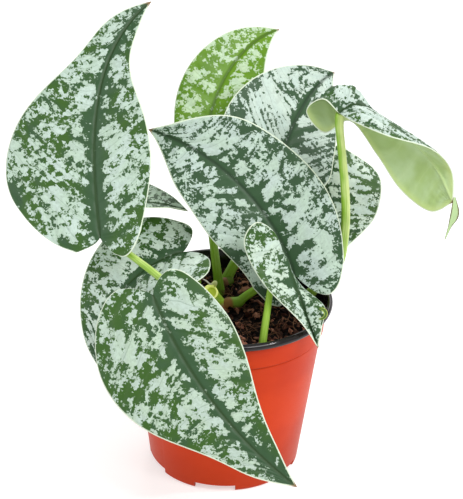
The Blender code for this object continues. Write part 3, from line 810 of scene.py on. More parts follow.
def blade_places(leaf, rows, columns):
    """Middle surface of one blade as a grid, and each point's place on the blade:
    distance from the midrib and the margin, place along the veins, side and share across."""
    left, right = blade_halves(leaf, rows, columns)
    middle = np.concatenate([right[:, :0:-1], left], axis=1)
    count = middle.shape[1]
    normals = grid_normals(middle)
    ribs = [lengths_along(half, 1) for half in (right, left)]
    rib = np.concatenate([ribs[0][:, :0:-1], ribs[1]], axis=1)
    widths = np.concatenate([np.broadcast_to(ribs[0][:, -1:], (rows + 2, columns)),
                             np.broadcast_to(ribs[1][:, -1:], (rows + 2, columns + 1))], axis=1)
    rim = widths - rib
    run = lengths_along(left[:, :1], 0)
    length = float(run[-1, 0])
    margins = [lengths_along(half[:, -1:], 0) for half in (right, left)]
    side = np.where(np.arange(count) < columns, 1.0, 0.0)[None, :]
    edge = np.where(side > 0.5, margins[0], margins[1])
    share = np.where(widths > 1e-6, rib / np.maximum(widths, 1e-6), 0.0)
    vein = np.broadcast_to(run, (rows + 2, count)) * (1 - share) + edge * share
    return middle, normals, rib, rim, vein, length, side, share


def ridge(ripple, width=VEIN_WIDTH):
    """1 on a side vein, falling to 0 between veins."""
    return np.exp(-(1 - ripple) / width)


def blade_tone(leaf, spacing, vein, rib, rim, side, share, length, station):
    """How far each place leans to deep green, before the material breaks it up."""
    look = leaf.look
    band = np.interp(station, (0, 0.5, 1), look.band)
    tone = BAND_TONE * np.exp(-(rib / band) ** 3)
    chance = np.random.default_rng(int(look.seed)).random(2 * MOST_VEINS)
    index = np.round(vein / spacing).astype(int) + np.where(side > 0.5, MOST_VEINS, 0)
    ripple = np.cos(2 * math.pi * vein / spacing)
    tongue = ridge(ripple) * np.exp(-(rib / (TONGUE_REACH * band)) ** 2)
    tone = tone + TONGUE_TONE * tongue * chance[index] * ramp(rib, 0, TONGUE_EASE)
    ribbing = ridge(ripple, RIBBING_WIDTH) * (RIBBING_LEAST + (1 - RIBBING_LEAST) * chance[index])
    ribbing = ribbing + BETWEEN_SHARE * ridge(-ripple, BETWEEN_WIDTH) * chance[::-1][index]
    tone = tone + look.veins * (ribbing - RIBBING_MEAN) * ramp(rib, *RIBBING_START)
    tone = tone + RIM_TONE * np.exp(-((rim - RIM_TONE_PLACE) / RIM_TONE_WIDTH) ** 2)
    tone = tone - look.silver_tip * ramp(station, *SILVER_TIP)
    widest = rib.max()
    for patch_side, along, across, size, lean in look.patches:
        away = np.hypot((station - along) * length, (share - across) * widest) / size
        tone = tone + lean * np.exp(-away ** 3) * (side == patch_side)
    return tone


def build_blade(leaf, settings):
    """Closed body of one blade: upper and lower sheets that meet at a rounded margin."""
    look = leaf.look
    rows, columns = grid_size(leaf, settings)
    middle, normals, rib, rim, vein, length, side, share = blade_places(leaf, rows, columns)
    rows, count = middle.shape[:2]
    vein = vein - look.sweep * rib
    spacing = settings.vein_spacing / MM
    ripple = np.cos(2 * math.pi * vein / spacing)
    fade = ramp(rib, 0, QUILT_EASE[0]) * ramp(rim, 0, QUILT_EASE[1])
    quilt = -settings.quilting / MM * ridge(ripple) * fade
    groove = settings.groove / MM * np.exp(-(rib / GROOVE_WIDTH) ** 2) * ramp(rim, 0, GROOVE_EASE)
    keel = KEEL_HEIGHT * np.exp(-(rib / KEEL_WIDTH) ** 2) * ramp(rim, 0, KEEL_EASE)
    half = EDGE_HALF + FLESH * BLADE_THICKNESS / 2 * np.sqrt(ramp(rim, 0, EDGE_ROUNDING))
    upper = middle + normals * (half + quilt - groove)[..., None]
    lower = middle - normals * (half - quilt + keel)[..., None]
    run = np.broadcast_to(np.linspace(0, 1, rows)[:, None], (rows, count))
    station = lengths_along(middle[:, count // 2:count // 2 + 1], 0) / length
    station = np.broadcast_to(station, (rows, count)) * (1 - share) + run * share
    tone = blade_tone(leaf, spacing, vein, rib, rim, side, share, length, station)
    bm = bmesh.new()
    values = {"tone": tone, "rim": rim, "rib": rib, "station": station}
    layers = {key: bm.verts.layers.float.new(key) for key in values}
    veins = bm.verts.layers.float_vector.new("vein")

    def vertex(points, i, j):
        made = bm.verts.new(Vector(points[i, j]) * MM)
        for key, layer in layers.items():
            made[layer] = values[key][i, j]
        turned = -1.0 if side[0, j] > 0.5 else 1.0
        made[veins] = (vein[i, j] + look.seed * 37.0, turned * (rib[i, j] + 40.0), look.seed * 5.0)
        return made

    def sheet(points, flip):
        start = vertex(points, 0, columns)
        end = vertex(points, rows - 1, columns)
        lines = [[vertex(points, i, j) for j in range(count)] for i in range(1, rows - 1)]

        def face(*corners):
            made = bm.faces.new(corners[::-1] if flip else corners)
            made.smooth = True
            made.material_index = 1 if flip else 0
        for near, far in zip(lines, lines[1:]):
            for k in range(count - 1):
                face(near[k], far[k], far[k + 1], near[k + 1])
        for k in range(count - 1):
            face(start, lines[0][k], lines[0][k + 1])
            face(end, lines[-1][k + 1], lines[-1][k])
        return [[start] + [line[j] for line in lines] + [end] for j in (0, count - 1)]

    for above, below, flip in zip(sheet(upper, False), sheet(lower, True), (False, True)):
        for k in range(rows - 1):
            corners = (above[k], below[k], below[k + 1], above[k + 1])
            bm.faces.new(corners[::-1] if flip else corners).smooth = True
    bmesh.ops.recalc_face_normals(bm, faces=bm.faces)
    slot = "leaf_lime" if leaf.name == "top_lime" else "leaf_silver"
    add_piece("leaf_" + leaf.name, finished_mesh(bm, "blade_" + leaf.name + "_tissue"),
              (upper_face(leaf, settings), under_face(leaf, settings)), slot, "blade_" + leaf.name)


# Leaf materials

def vein_lines(paint, vein, spacing, width):
    """Thin lines along the side veins, 1 on a vein."""
    wander = paint.clouds(vein, (0.1, 0.1, 1.0), 1.0)
    moved = paint.plus(paint.part(vein, "X"), paint.times(wander, 3.0))
    return paint.fall(paint.calc("PINGPONG", paint.minus(moved, 1.5), spacing / 2), 0.0, width)


def tissue_cells(paint, spot, size):
    """Small irregular cells of tissue: the middle of each place's cell and its random value."""
    wobble = paint.node("ShaderNodeTexNoise", {
        "Vector": spot, "Scale": CELL_RAGGED / size, "Detail": 1.0})["Color"]
    moved = paint.node("ShaderNodeVectorMath", {0: spot, 1: paint.stretch(wobble, (size, size, size))},
                       operation="ADD")[0]
    cells = paint.node("ShaderNodeTexVoronoi", {"Vector": moved, "Scale": 1 / size})
    return cells["Position"], paint.node("ShaderNodeSeparateColor", {"Color": cells["Color"]})[0]


def silver_cover(paint, look, vein, tone, rim):
    """How strongly each place leans to silver, in patches with crisp, stepped edges."""
    spot = paint.node("ShaderNodeVectorMath", {0: paint.place(), 1: (17.0 * look.seed, 0.0, 0.0)},
                      operation="ADD")[0]
    middle, chance = tissue_cells(paint, spot, CELL_SIZE)
    speck = tissue_cells(paint, spot, SPECK_SIZE)[1]
    patch = paint.clouds(middle, 1 / look.patch, 2.0)
    broad = paint.clouds(middle, 0.4 / look.patch, 1.0)
    across, along = look.stripe
    stripe = paint.clouds(vein, (1 / across, 1 / along, 1), 2.0)
    lace = paint.plus(0.10, paint.times(paint.fall(rim, 1.5, 13.0), 0.20 * look.speck))
    cover = paint.minus(0.5, tone)
    for part, weight in ((patch, 1.0), (broad, 0.6), (stripe, look.streak), (chance, 0.16),
                         (speck, lace)):
        cover = paint.plus(cover, paint.times(paint.minus(part, 0.5), weight))
    return cover, chance


def upper_face(leaf, settings):
    """Deep green satin tissue under silver patches drawn out along the side veins, with a painted sheen
    mottle on the silver, painted bluish sheen near the midrib and painted shade along its groove.
    """
    look = leaf.look
    paint = Paint("upper_" + leaf.name)
    vein = paint.vector("vein")
    tone, rim, rib, station = (paint.value(key) for key in ("tone", "rim", "rib", "station"))
    cover, chance = silver_cover(paint, look, vein, tone, rim)
    level = 0.5 - look.cover
    drift = paint.clouds(vein, (1 / 14.0, 1 / 14.0, 1), 2.0)
    sheen_mottle = paint.clouds(vein, (1 / 0.7, 1 / 1.8, 1), 3.0, 0.6)
    lines = vein_lines(paint, vein, settings.vein_spacing / MM, 0.5)
    # Cooler deep green near the midrib and in drifts: partly the leaf's own tone, partly painted bluish
    # sheen
    outward = paint.times(paint.step(rib, 2.0, 14.0), paint.step(drift, 0.3, 0.6))
    dark = paint.mix(outward, look.dark_cool, look.dark)
    # A darker copy of the silver, for the painted sheen mottle and for random dimming by cell
    shaded = scaled(look.silver, 0.62)
    light = paint.coats(
        look.silver,
        (paint.step(drift, 0.35, 0.65), look.silver_cool, 1),
        # Painted sheen: the silver dims to its shaded copy in a fine mottle
        (paint.step(sheen_mottle, 0.45, 0.75), shaded, 0.55),
        (paint.step(chance, 0.2, 1.0), shaded, 0.30),
        (lines, look.dark_cool, 0.30),
    )
    half_grey = tuple(0.62 * d + 0.38 * s for d, s in zip(look.dark, look.silver))
    silvered = paint.step(cover, level + 0.006, level + 0.035)
    colour = paint.coats(
        dark,
        (paint.step(cover, level - 0.018, level + 0.006), half_grey, 1),
        (silvered, light, 1),
        # Painted shade along the midrib's groove
        (paint.fall(rib, 0.2, 1.8), scaled(look.dark, 0.45), 0.65),
        (paint.fall(rim, 0.45, 0.85), tuple(settings.rim), 1),
        (paint.step(station, *DRY_TIP), TIP_BROWN, 1),
    )
    height = paint.plus(paint.times(sheen_mottle, 0.5), paint.times(chance, 0.2))
    return paint.finish(colour, height, 0.35, 0.0003, paint.span(silvered, 0, 1, 0.42, 0.50), 0.25)


def under_face(leaf, settings):
    """Pale matt underside with faint veins, olive near the base and paler near the margin."""
    under = leaf.look.under
    paint = Paint("under_" + leaf.name)
    vein = paint.vector("vein")
    rim, rib, station = (paint.value(key) for key in ("rim", "rib", "station"))
    drift = paint.clouds(vein, (1 / 16.0, 1 / 22.0, 1), 2.0)
    grain = paint.clouds(vein, (1 / 1.2, 1 / 2.4, 1), 2.0)
    lines = vein_lines(paint, vein, settings.vein_spacing / MM, 0.8)
    yellowed = tuple(c * s for c, s in zip(under, (1.25, 1.2, 1.7)))
    colour = paint.coats(
        under,
        (paint.step(drift, 0.35, 0.65), yellowed, 1),
        (paint.fall(station, 0.05, 0.40), (0.125, 0.215, 0.030), 0.85),
        (paint.fall(rim, 1.0, 6.0), (0.480, 0.600, 0.220), 0.65),
        (lines, (0.42, 0.55, 0.28), 0.16),
        (grain, scaled(under, 0.7), 0.18),
        (paint.fall(rib, 0.6, 1.6), (0.46, 0.58, 0.26), 0.5),
        (paint.fall(rim, 0.45, 0.9), tuple(settings.rim), 1),
        (paint.step(station, *DRY_TIP), TIP_BROWN, 1),
    )
    return paint.finish(colour, grain, 0.2, 0.0003, 0.5, 0.25)


# Stems

def tube_rings(points, radii, sides):
    """Rings of a round stem along a line, without twist."""
    points = np.asarray(points, float)
    tangents = np.gradient(points, axis=0)
    tangents /= np.linalg.norm(tangents, axis=1, keepdims=True)
    across = np.cross(tangents[0], (0.0, 1.0, 0.0))
    if np.linalg.norm(across) < 0.1:
        across = np.cross(tangents[0], (1.0, 0.0, 0.0))
    angles = np.linspace(0, 2 * math.pi, sides, endpoint=False)[:, None]
    rings = []
    for point, tangent, radius in zip(points, tangents, radii):
        across = across - tangent * np.dot(across, tangent)
        across /= np.linalg.norm(across)
        other = np.cross(tangent, across)
        rings.append(point + radius * (across * np.cos(angles) + other * np.sin(angles)))
    return np.array(rings)


def close_tube(bm, loops):
    """Joins rings of vertices to a smooth tube with flat ends."""
    for near, far in zip(loops, loops[1:]):
        for k in range(len(near)):
            n = (k + 1) % len(near)
            bm.faces.new((near[k], near[n], far[n], far[k])).smooth = True
    bm.faces.new(loops[0][::-1])
    bm.faces.new(loops[-1])


def stem_mesh(name, rings):
    """Closed body through the rings, with its running length and turn as vertex attributes."""
    steps = np.linalg.norm(np.diff(rings.mean(axis=1), axis=0), axis=1)
    length = np.concatenate([[0.0], np.cumsum(steps)])
    bm = bmesh.new()
    along = bm.verts.layers.float.new("along")
    turned = bm.verts.layers.float_vector.new("turn")
    loops = []
    for ring, place in zip(rings, length):
        loop = [bm.verts.new(Vector(point) * MM) for point in ring]
        for k, made in enumerate(loop):
            angle = 2 * math.pi * k / len(ring)
            made[along] = place / length[-1]
            made[turned] = (math.cos(angle), math.sin(angle), place)
        loops.append(loop)
    close_tube(bm, loops)
    return finished_mesh(bm, name)


def petiole_joint(leaf):
    """Where the petiole meets the blade, and the direction out of the blade's upper face."""
    if isinstance(leaf, FoldedLeaf):
        return np.array(leaf.joint, float), np.array(leaf.face, float)
    joint = bend(leaf, midrib(leaf), np.array([JOINT_PLACE]), np.array([0.0]), 0)[0]
    return joint, start_frame(leaf)[1]


def petiole_line(leaf, count):
    """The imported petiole's line, with more points."""
    joint, upper = petiole_joint(leaf)
    x, y = leaf.foot
    knots = [(x, y, SOIL_LEVEL + PETIOLE_START), *leaf.path, tuple(joint - KNEE_LENGTH * upper)]
    middle = smooth_curve(knots, count)
    last = joint - upper * (BLADE_THICKNESS / 2)
    start = np.linspace((x, y, STEM_FOOT), middle[0], 5)[:-1]
    end = np.linspace(middle[-1], last, 6)[1:]
    points = np.vstack([start, middle, end])
    for _ in range(3):
        points[1:-1] = (points[:-2] + 2 * points[1:-1] + points[2:]) / 4
    return points


def build_petiole(leaf, settings, material):
    """Round stem, thicker at its foot and its knee, with a groove down its front."""
    points = petiole_line(leaf, PETIOLE_POINTS)
    shares = path_shares(points)
    radii = leaf.foot_radius + (leaf.tip_radius - leaf.foot_radius) * shares
    for place, width, rise in PETIOLE_SWELLINGS:
        radii = radii * (1 + rise * np.exp(-((shares - place) / width) ** 2))
    rings = tube_rings(points, radii, settings.sides)
    out = (rings - points[:, None]) / radii[:, None, None]
    dip = GROOVE_DEPTH * np.clip(-out[..., 1:2], 0, 1) ** 8
    rings = points[:, None] + out * radii[:, None, None] * (1 - dip)
    add_piece("stem_" + leaf.name, stem_mesh("petiole_" + leaf.name + "_skin", rings), (material,),
              "stem_green", "petiole_" + leaf.name)


def stem_skin(settings):
    """Fresh yellow-green stem with fine lengthwise streaks, a painted highlight down one side of its
    upper part and painted light on its lower part.
    """
    paint = Paint("stem_skin")
    turned, along, where = paint.vector("turn"), paint.value("along"), paint.place()
    streak = paint.clouds(turned, (3.0, 3.0, 0.05), 3.0)
    drift = paint.clouds(where, 0.05, 2.0)
    flecks = paint.clouds(where, (1.6, 1.6, 0.9), 3.0)
    height = paint.part(where, "Z")
    # Painted highlight: the stems' upper parts turn pale on one side
    lit = paint.times(paint.minus(0.2, paint.part(turned, "X")), paint.step(height, 115.0, 165.0))
    pale = paint.plus(paint.times(streak, 0.7), paint.times(drift, 0.7))
    pale = paint.plus(pale, paint.times(lit, 0.34))
    colour = paint.coats(
        tuple(settings.stem),
        (paint.step(pale, 0.5, 1.05), tuple(settings.stem_pale), 1),
        # Painted light: the stems' lower parts are a brighter, more saturated green
        (paint.fall(height, 105.0, 150.0), (0.300, 0.560, 0.020), 0.6),
        (paint.fall(along, 0.06, 0.35), (0.075, 0.160, 0.012), 0.55),
        (paint.step(flecks, 0.62, 0.72), (0.50, 0.60, 0.28), 0.25),
    )
    return paint.finish(colour, streak, 0.25, 0.0003, 0.40, 0.3)


def vine_skin(mouth):
    """Old vine: brown scar at the node, fresh green sheath and a yellow mouth whose rim has a painted
    glow.
    """
    paint = Paint("vine_skin")
    along = paint.value("along")
    streak = paint.clouds(paint.vector("turn"), (2.5, 2.5, 0.2), 3.0)
    wander = paint.plus(along, paint.times(streak, 0.06 * mouth))
    edge = paint.step(along, 0.90 * mouth, 0.93 * mouth)
    inside = paint.step(along, mouth + 0.015, mouth + 0.05)
    colour = paint.coats(
        (0.050, 0.110, 0.012),
        (paint.step(wander, 0.34 * mouth, 0.40 * mouth), SCAR_BROWN, 1),
        (paint.step(wander, 0.50 * mouth, 0.56 * mouth), (0.330, 0.560, 0.020), 1),
        (paint.step(wander, 0.78 * mouth, 0.95 * mouth), (0.620, 0.780, 0.080), 1),
        (edge, (1.00, 1.00, 0.42), 1),
        (inside, (0.820, 0.960, 0.090), 1),
    )
    # Painted glow: emission on the thin rim, though it is no lamp
    paint.glow((0.90, 1.00, 0.22), paint.times(paint.minus(edge, inside), 0.40))
    return paint.finish(colour, streak, 0.3, 0.0003, 0.4, 0.3)


def build_vine(settings):
    """The old vine's end: a node at the soil and an open sheath with a slanting mouth."""
    x, y = VINE_FOOT
    line = smooth_curve([(x, y, STEM_FOOT), (x, y, SOIL_LEVEL + 1.0), *VINE_PATH], VINE_POINTS)
    shares = path_shares(line)
    rings = tube_rings(line, np.interp(shares, *VINE_GIRTH), settings.sides)
    ahead = line[-1] - line[-2]
    mouth = np.array(VINE_MOUTH, float)
    share = ramp(shares, SHEATH_START, 1.0)[:, None, None] ** 2
    flat = rings - line[-1]
    reach = flat - ahead * ((flat @ ahead) / np.dot(ahead, ahead))[..., None]
    slant = (reach @ mouth)[..., None] * ahead / np.dot(ahead, mouth)
    rings = rings - slant * share
    inner = rings[:-SHEATH_INNER_RINGS - 1:-1]
    middles = inner.mean(axis=1, keepdims=True)
    sizes = np.linalg.norm(inner - middles, axis=-1, keepdims=True)
    inner = middles + (inner - middles) * (1 - SHEATH_WALL / sizes)
    walls = np.concatenate([rings, inner])
    brim = float(path_shares(walls.mean(axis=1))[len(rings) - 1])
    add_piece("old_vine_end", stem_mesh("vine_sheath", walls), (vine_skin(brim),), "stem_green",
              "vine_cut_end")


def dry_skin(name, fresh, dry, start):
    """Fresh tissue that dries to another colour past a share of its length."""
    paint = Paint(name)
    grain = paint.clouds(paint.place(), 1.1, 3.0)
    wander = paint.plus(paint.value("along"), paint.times(grain, 0.12))
    colour = paint.coats(
        fresh,
        (paint.step(wander, start, start + 0.12), dry, 1),
        (grain, scaled(dry, 0.6), 0.3),
    )
    return paint.finish(colour, grain, 0.4, 0.0003, 0.55, 0.25)


def add_trimming(name, body, route, radii, sides, skin):
    """A dry stem along a route, as thick as the radii say at even steps."""
    rings = tube_rings(smooth_curve(route, len(radii)), radii, sides)
    add_piece(name, stem_mesh(body, rings), (skin,), "stem_green")


def build_trimmings(settings):
    """The dried tendril at the sheath's mouth, the swelling at the vine's node and the cut stub."""
    add_trimming("dry_tendril", "tendril", TENDRIL, smooth_values(TENDRIL_RADII, 40), TENDRIL_SIDES,
                 dry_skin("tendril_skin", (0.95, 0.96, 0.42), (0.95, 0.88, 0.82), 0.45))
    add_trimming("vine_node", "node_swelling", VINE_NODE,
                 np.interp(np.linspace(0, 1, 24), *NODE_GIRTH), settings.sides,
                 dry_skin("node_skin", SCAR_BROWN, STEM_GREEN, 0.45))
    add_trimming("cut_stub", "stub", STUB,
                 np.interp(np.linspace(0, 1, 16), *STUB_GIRTH), settings.sides,
                 dry_skin("stub_skin", (0.13, 0.22, 0.03), (0.26, 0.12, 0.07), 0.60))


def strip_mesh(name, line, widths, facing, fold):
    """Narrow closed blade along a line, folded like a V, with a rounded edge attribute."""
    points = smooth_curve(line, STRIP_POINTS)
    half = smooth_values(widths, STRIP_POINTS)[:, None] / 2
    ahead = np.gradient(points, axis=0)
    ahead /= np.linalg.norm(ahead, axis=1, keepdims=True)
    sideways = np.cross(ahead, np.array(facing, float))
    sideways /= np.linalg.norm(sideways, axis=1, keepdims=True)
    out = np.cross(sideways, ahead)
    spread = np.array(STRIP_SPREAD + STRIP_SPREAD[-2:0:-1])
    face = np.where(np.arange(len(spread)) < len(STRIP_SPREAD), 0.5, -0.5)
    lift = fold * half * np.abs(spread) + face * STRIP_THICKNESS * (1 - spread ** 2)
    rings = (points[:, None] + sideways[:, None] * (half * spread)[..., None]
             + out[:, None] * lift[..., None])
    mesh = stem_mesh(name, rings)
    edge = mesh.attributes.new("edge", "FLOAT", "POINT")
    edge.data.foreach_set("value", np.tile(np.abs(spread), len(points)))
    return mesh


def strip_skin(name, inside, brim):
    """Pale curled tissue with a darker dried brim."""
    paint = Paint(name)
    grain = paint.clouds(paint.place(), (1.3, 1.3, 0.6), 3.0)
    worn = paint.plus(paint.value("edge"), paint.times(paint.minus(grain, 0.5), 0.5))
    colour = paint.mix(paint.step(worn, 0.55, 0.85), inside, brim)
    return paint.finish(colour, grain, 0.3, 0.0003, 0.5, 0.25)


def build_tips():
    """The long drip tip of the folded leaf and the curled margin of the small front leaf."""
    angles = np.radians(np.linspace(CURL_HALF_ANGLE, -CURL_HALF_ANGLE, 9))
    ring = np.stack([np.cos(angles), 0 * angles, np.sin(angles)], -1)
    curl = np.array(CURL_CENTRE, float) + CURL_RADIUS * ring
    curl_widths = CURL_WIDTH * np.cos(angles / 1.3)
    add_piece("drip_tip_right", strip_mesh("drip_right", DRIP, DRIP_WIDTHS, (0.1, -1, 0.35), 0.25),
              (strip_skin("drip_skin", (0.40, 0.55, 0.27), (0.16, 0.14, 0.07)),), "leaf_silver")
    add_piece("margin_curl_front", strip_mesh("curl_front", curl, curl_widths, (0.5, -1, 0.2), 0.5),
              (strip_skin("curl_skin", (0.06, 0.13, 0.02), (0.42, 0.50, 0.09)),), "leaf_silver")


# Pot and soil

def turned_mesh(name, profile, segments):
    bm = bmesh.new()
    points = [bm.verts.new((radius * MM, 0.0, height * MM)) for radius, height in profile]
    edges = [bm.edges.new(pair) for pair in zip(points, points[1:])]
    bmesh.ops.spin(bm, geom=points + edges, cent=(0, 0, 0), axis=(0, 0, 1),
                   angle=2 * math.pi, steps=segments, use_merge=True)
    bmesh.ops.remove_doubles(bm, verts=bm.verts, dist=1e-6)
    bmesh.ops.recalc_face_normals(bm, faces=bm.faces)
    return finished_mesh(bm, name)


def cut_away(item, cutter):
    """Subtracts the cutter, keeps the result as the item's mesh and removes the cutter."""
    modifier = item.modifiers.new("cut", "BOOLEAN")
    modifier.operation = "DIFFERENCE"
    modifier.solver = "EXACT"
    modifier.object = cutter
    evaluated = item.evaluated_get(bpy.context.evaluated_depsgraph_get())
    mesh = bpy.data.meshes.new_from_object(evaluated)
    item.modifiers.clear()
    item.data = mesh
    bpy.data.objects.remove(cutter, do_unlink=True)


def notch_angles():
    return [math.radians(FIRST_NOTCH_ANGLE + index * 360.0 / FOOT_COUNT)
            for index in range(FOOT_COUNT)]


def notch_cutter(name):
    """Six wedges through the pot's foot ring, between its feet."""
    bm = bmesh.new()
    inner, outer, half = NOTCH_INNER_RADIUS, NOTCH_OUTER_RADIUS, math.radians(NOTCH_HALF_ANGLE)
    for middle in notch_angles():
        corners = []
        for radius, angle in ((inner, -half), (outer, -half), (outer, half), (inner, half)):
            x, y = polar(radius, middle + angle)
            corners.append(bm.verts.new((x * MM, y * MM, -CUT_MARGIN * MM)))
        raised = bmesh.ops.extrude_face_region(bm, geom=[bm.faces.new(corners)])
        top = [part for part in raised["geom"] if isinstance(part, bmesh.types.BMVert)]
        bmesh.ops.translate(bm, verts=top, vec=(0, 0, (NOTCH_HEIGHT + CUT_MARGIN) * MM))
    bmesh.ops.recalc_face_normals(bm, faces=bm.faces)
    return add_object(name, finished_mesh(bm, name))


def drains_cutter(name):
    """One small round hole above each notch."""
    bm = bmesh.new()
    for angle in notch_angles():
        x, y = polar(DRAIN_CIRCLE_RADIUS, angle)
        bmesh.ops.create_cone(
            bm, cap_ends=True, segments=24, radius1=DRAIN_RADIUS * MM, radius2=DRAIN_RADIUS * MM,
            depth=(WALL + CUT_MARGIN) * MM,
            matrix=Matrix.Translation((x * MM, y * MM, (FLOOR_LIFT + WALL / 2) * MM)))
    return add_object(name, finished_mesh(bm, name))


def rounded(corners, reach):
    """Polyline with every inner corner replaced by a short arc."""
    points = [Vector((*corners[0], 0))]
    for before, here, after in zip(corners, corners[1:], corners[2:]):
        a, b, c = (Vector((*p, 0)) for p in (before, here, after))
        cut = min(reach, (a - b).length * 0.45, (c - b).length * 0.45)
        start = b + (a - b).normalized() * cut
        end = b + (c - b).normalized() * cut
        for k in range(5):
            t = k / 4
            points.append(start * (1 - t) ** 2 + b * 2 * t * (1 - t) + end * t ** 2)
    points.append(Vector((*corners[-1], 0)))
    return [(p.x, p.y) for p in points]


def pot_profile():
    """Outside of the wall, the rolled lip, and down the inside to the middle of the floor."""
    under_lip = POT_HEIGHT - LIP_HEIGHT
    band_foot = under_lip - BAND_HEIGHT
    outside = [
        (0, FLOOR_LIFT), (RING_INNER_RADIUS - 1.0, FLOOR_LIFT),
        (RING_INNER_RADIUS, FLOOR_LIFT - 1.0), (RING_INNER_RADIUS + 0.4, 0),
        (BASE_RADIUS - 1.2, 0), (BASE_RADIUS - 0.2, 1.2),
        (BODY_RADIUS_UNDER_BAND, band_foot - 2.0),
        (BODY_RADIUS_UNDER_BAND - SEAM_DEPTH, band_foot - 0.9),
        (BODY_RADIUS_UNDER_BAND + BAND_STEP, band_foot - 0.2),
        (BODY_RADIUS_UNDER_BAND + BAND_STEP, band_foot + 0.6),
        (WALL_RADIUS_UNDER_LIP, under_lip), (RIM_RADIUS - 1.2, under_lip + 0.1),
    ]
    points = rounded(outside, 0.35)
    for k in range(1, 12):
        x, z = polar(LIP_ROLL, math.radians(-60 + 190 * k / 12))
        points.append((RIM_RADIUS - LIP_ROLL + x, POT_HEIGHT - LIP_ROLL + z))
    inside = [
        (RIM_RADIUS - 3.6, POT_HEIGHT - 1.0), (WALL_RADIUS_UNDER_LIP - WALL, under_lip - 1.0),
        (BODY_RADIUS_UNDER_BAND + BAND_STEP - WALL, band_foot),
        (BODY_RADIUS_UNDER_BAND - WALL, band_foot - 1.0),
        (BASE_RADIUS - WALL, FLOOR_LIFT + 4), (BASE_RADIUS - WALL - 2.6, FLOOR_LIFT + WALL),
        (0, FLOOR_LIFT + WALL),
    ]
    return points + rounded(inside, 0.8)[1:]


def cavity_profile(shrink, top):
    """Inside of the pot's wall, drawn in by a further margin and cut off at a height."""
    band_foot = POT_HEIGHT - LIP_HEIGHT - BAND_HEIGHT
    inset = WALL + shrink
    foot = FLOOR_LIFT + inset
    top_radius = np.interp(top, (band_foot, POT_HEIGHT - LIP_HEIGHT, POT_HEIGHT + 1),
                           (BODY_RADIUS_UNDER_BAND + BAND_STEP, WALL_RADIUS_UNDER_LIP,
                            WALL_RADIUS_UNDER_LIP + 1.6)) - inset
    return [
        (0, foot), (BASE_RADIUS - 2.9 - inset, foot), (BASE_RADIUS - 1.5 - inset, foot + 0.8),
        (BASE_RADIUS - 0.5 - inset, foot + 2.4), (BASE_RADIUS - inset, foot + 4.2),
        (BODY_RADIUS_UNDER_BAND - inset, band_foot - 1),
        (BODY_RADIUS_UNDER_BAND + BAND_STEP - inset, band_foot + 0.2), (float(top_radius), top),
    ]


def pot_plastic(settings):
    """Matt moulded plastic, a little uneven, with fine marks from the mould, painted shade towards the
    bottom and a painted shade line in the groove under its band.
    """
    paint = Paint("pot_outside")
    where = paint.place()
    height = paint.part(where, "Z")
    scuffs = paint.clouds(where, (0.35, 0.35, 1.6), 5.0, 0.7)
    outside = tuple(settings.outside)
    colour = paint.coats(
        outside,
        (paint.step(paint.clouds(where, (0.02, 0.02, 0.03), 3.0), 0.35, 0.65),
         tuple(c * s for c, s in zip(outside, (0.86, 0.72, 0.72))), 1),
        (paint.step(scuffs, 0.60, 0.74), (0.75, 0.20, 0.10), 0.10),
    )
    # Painted shade: the outside darkens towards the bottom
    colour = paint.mix(paint.step(height, -10.0, 50.0), scaled(outside, 0.72), colour)
    foot = POT_HEIGHT - LIP_HEIGHT - BAND_HEIGHT
    # Painted shade in the groove under the band
    groove_shade = paint.times(paint.step(height, foot - 1.7, foot - 0.9),
                       paint.fall(height, foot - 0.5, foot))
    colour = paint.coats(colour, (groove_shade, scaled(outside, 0.45), 0.55))
    return paint.finish(colour, paint.clouds(where, 2.2, 3.0), 0.12, 0.0002,
                        paint.span(scuffs, 0.3, 0.7, 0.34, 0.46), 0.12)


def pot_lining(settings):
    """Black lining that rolls over the rim as a glossy lip."""
    paint = Paint("pot_lining")
    dust = paint.clouds(paint.place(), 0.6, 4.0, 0.6)
    colour = paint.coats(tuple(settings.inside),
                         (paint.step(dust, 0.5, 0.8), (0.055, 0.045, 0.040), 0.20))
    gloss = paint.span(dust, 0.35, 0.75, settings.lip_gloss, settings.lip_gloss + 0.06)
    return paint.finish(colour, dust, 0.1, 0.0003, gloss, 0.28)


def build_pot(settings):
    pot = add_object("pot_shell", turned_mesh("pot_wall", pot_profile(), settings.segments))
    cut_away(pot, notch_cutter("notches"))
    cut_away(pot, drains_cutter("drains"))
    mesh = pot.data
    bpy.data.objects.remove(pot, do_unlink=True)
    mesh.shade_smooth()
    mesh.set_sharp_from_angle(angle=math.radians(32))
    for face in mesh.polygons:
        x, y, z = face.center / MM
        within = math.hypot(x, y) < np.interp(z, WALL_HEIGHTS, WALL_RADII)
        in_lip = z > POT_HEIGHT - LIP_HEIGHT + LINING_START
        in_floor = z > FLOOR_LIFT + LINING_FLOOR * WALL
        face.material_index = 1 if in_lip or (within and in_floor) else 0
    add_piece("nursery_pot", mesh, (pot_plastic(settings), pot_lining(settings)),
              "pot_plastic", "pot")


def soil_top(x, y):
    """Height of the soil in millimetres at a place."""
    spot = Vector((x, y, 0.0))
    broad = SOIL_RELIEF * noise.noise(spot / SOIL_GRAIN)
    crumbs = CRUMB_RELIEF * noise.noise(spot / CRUMB_GRAIN + Vector((9, 4, 2)))
    return SOIL_LEVEL + broad + (crumbs + DUST_RELIEF * noise.noise(spot / DUST_GRAIN))


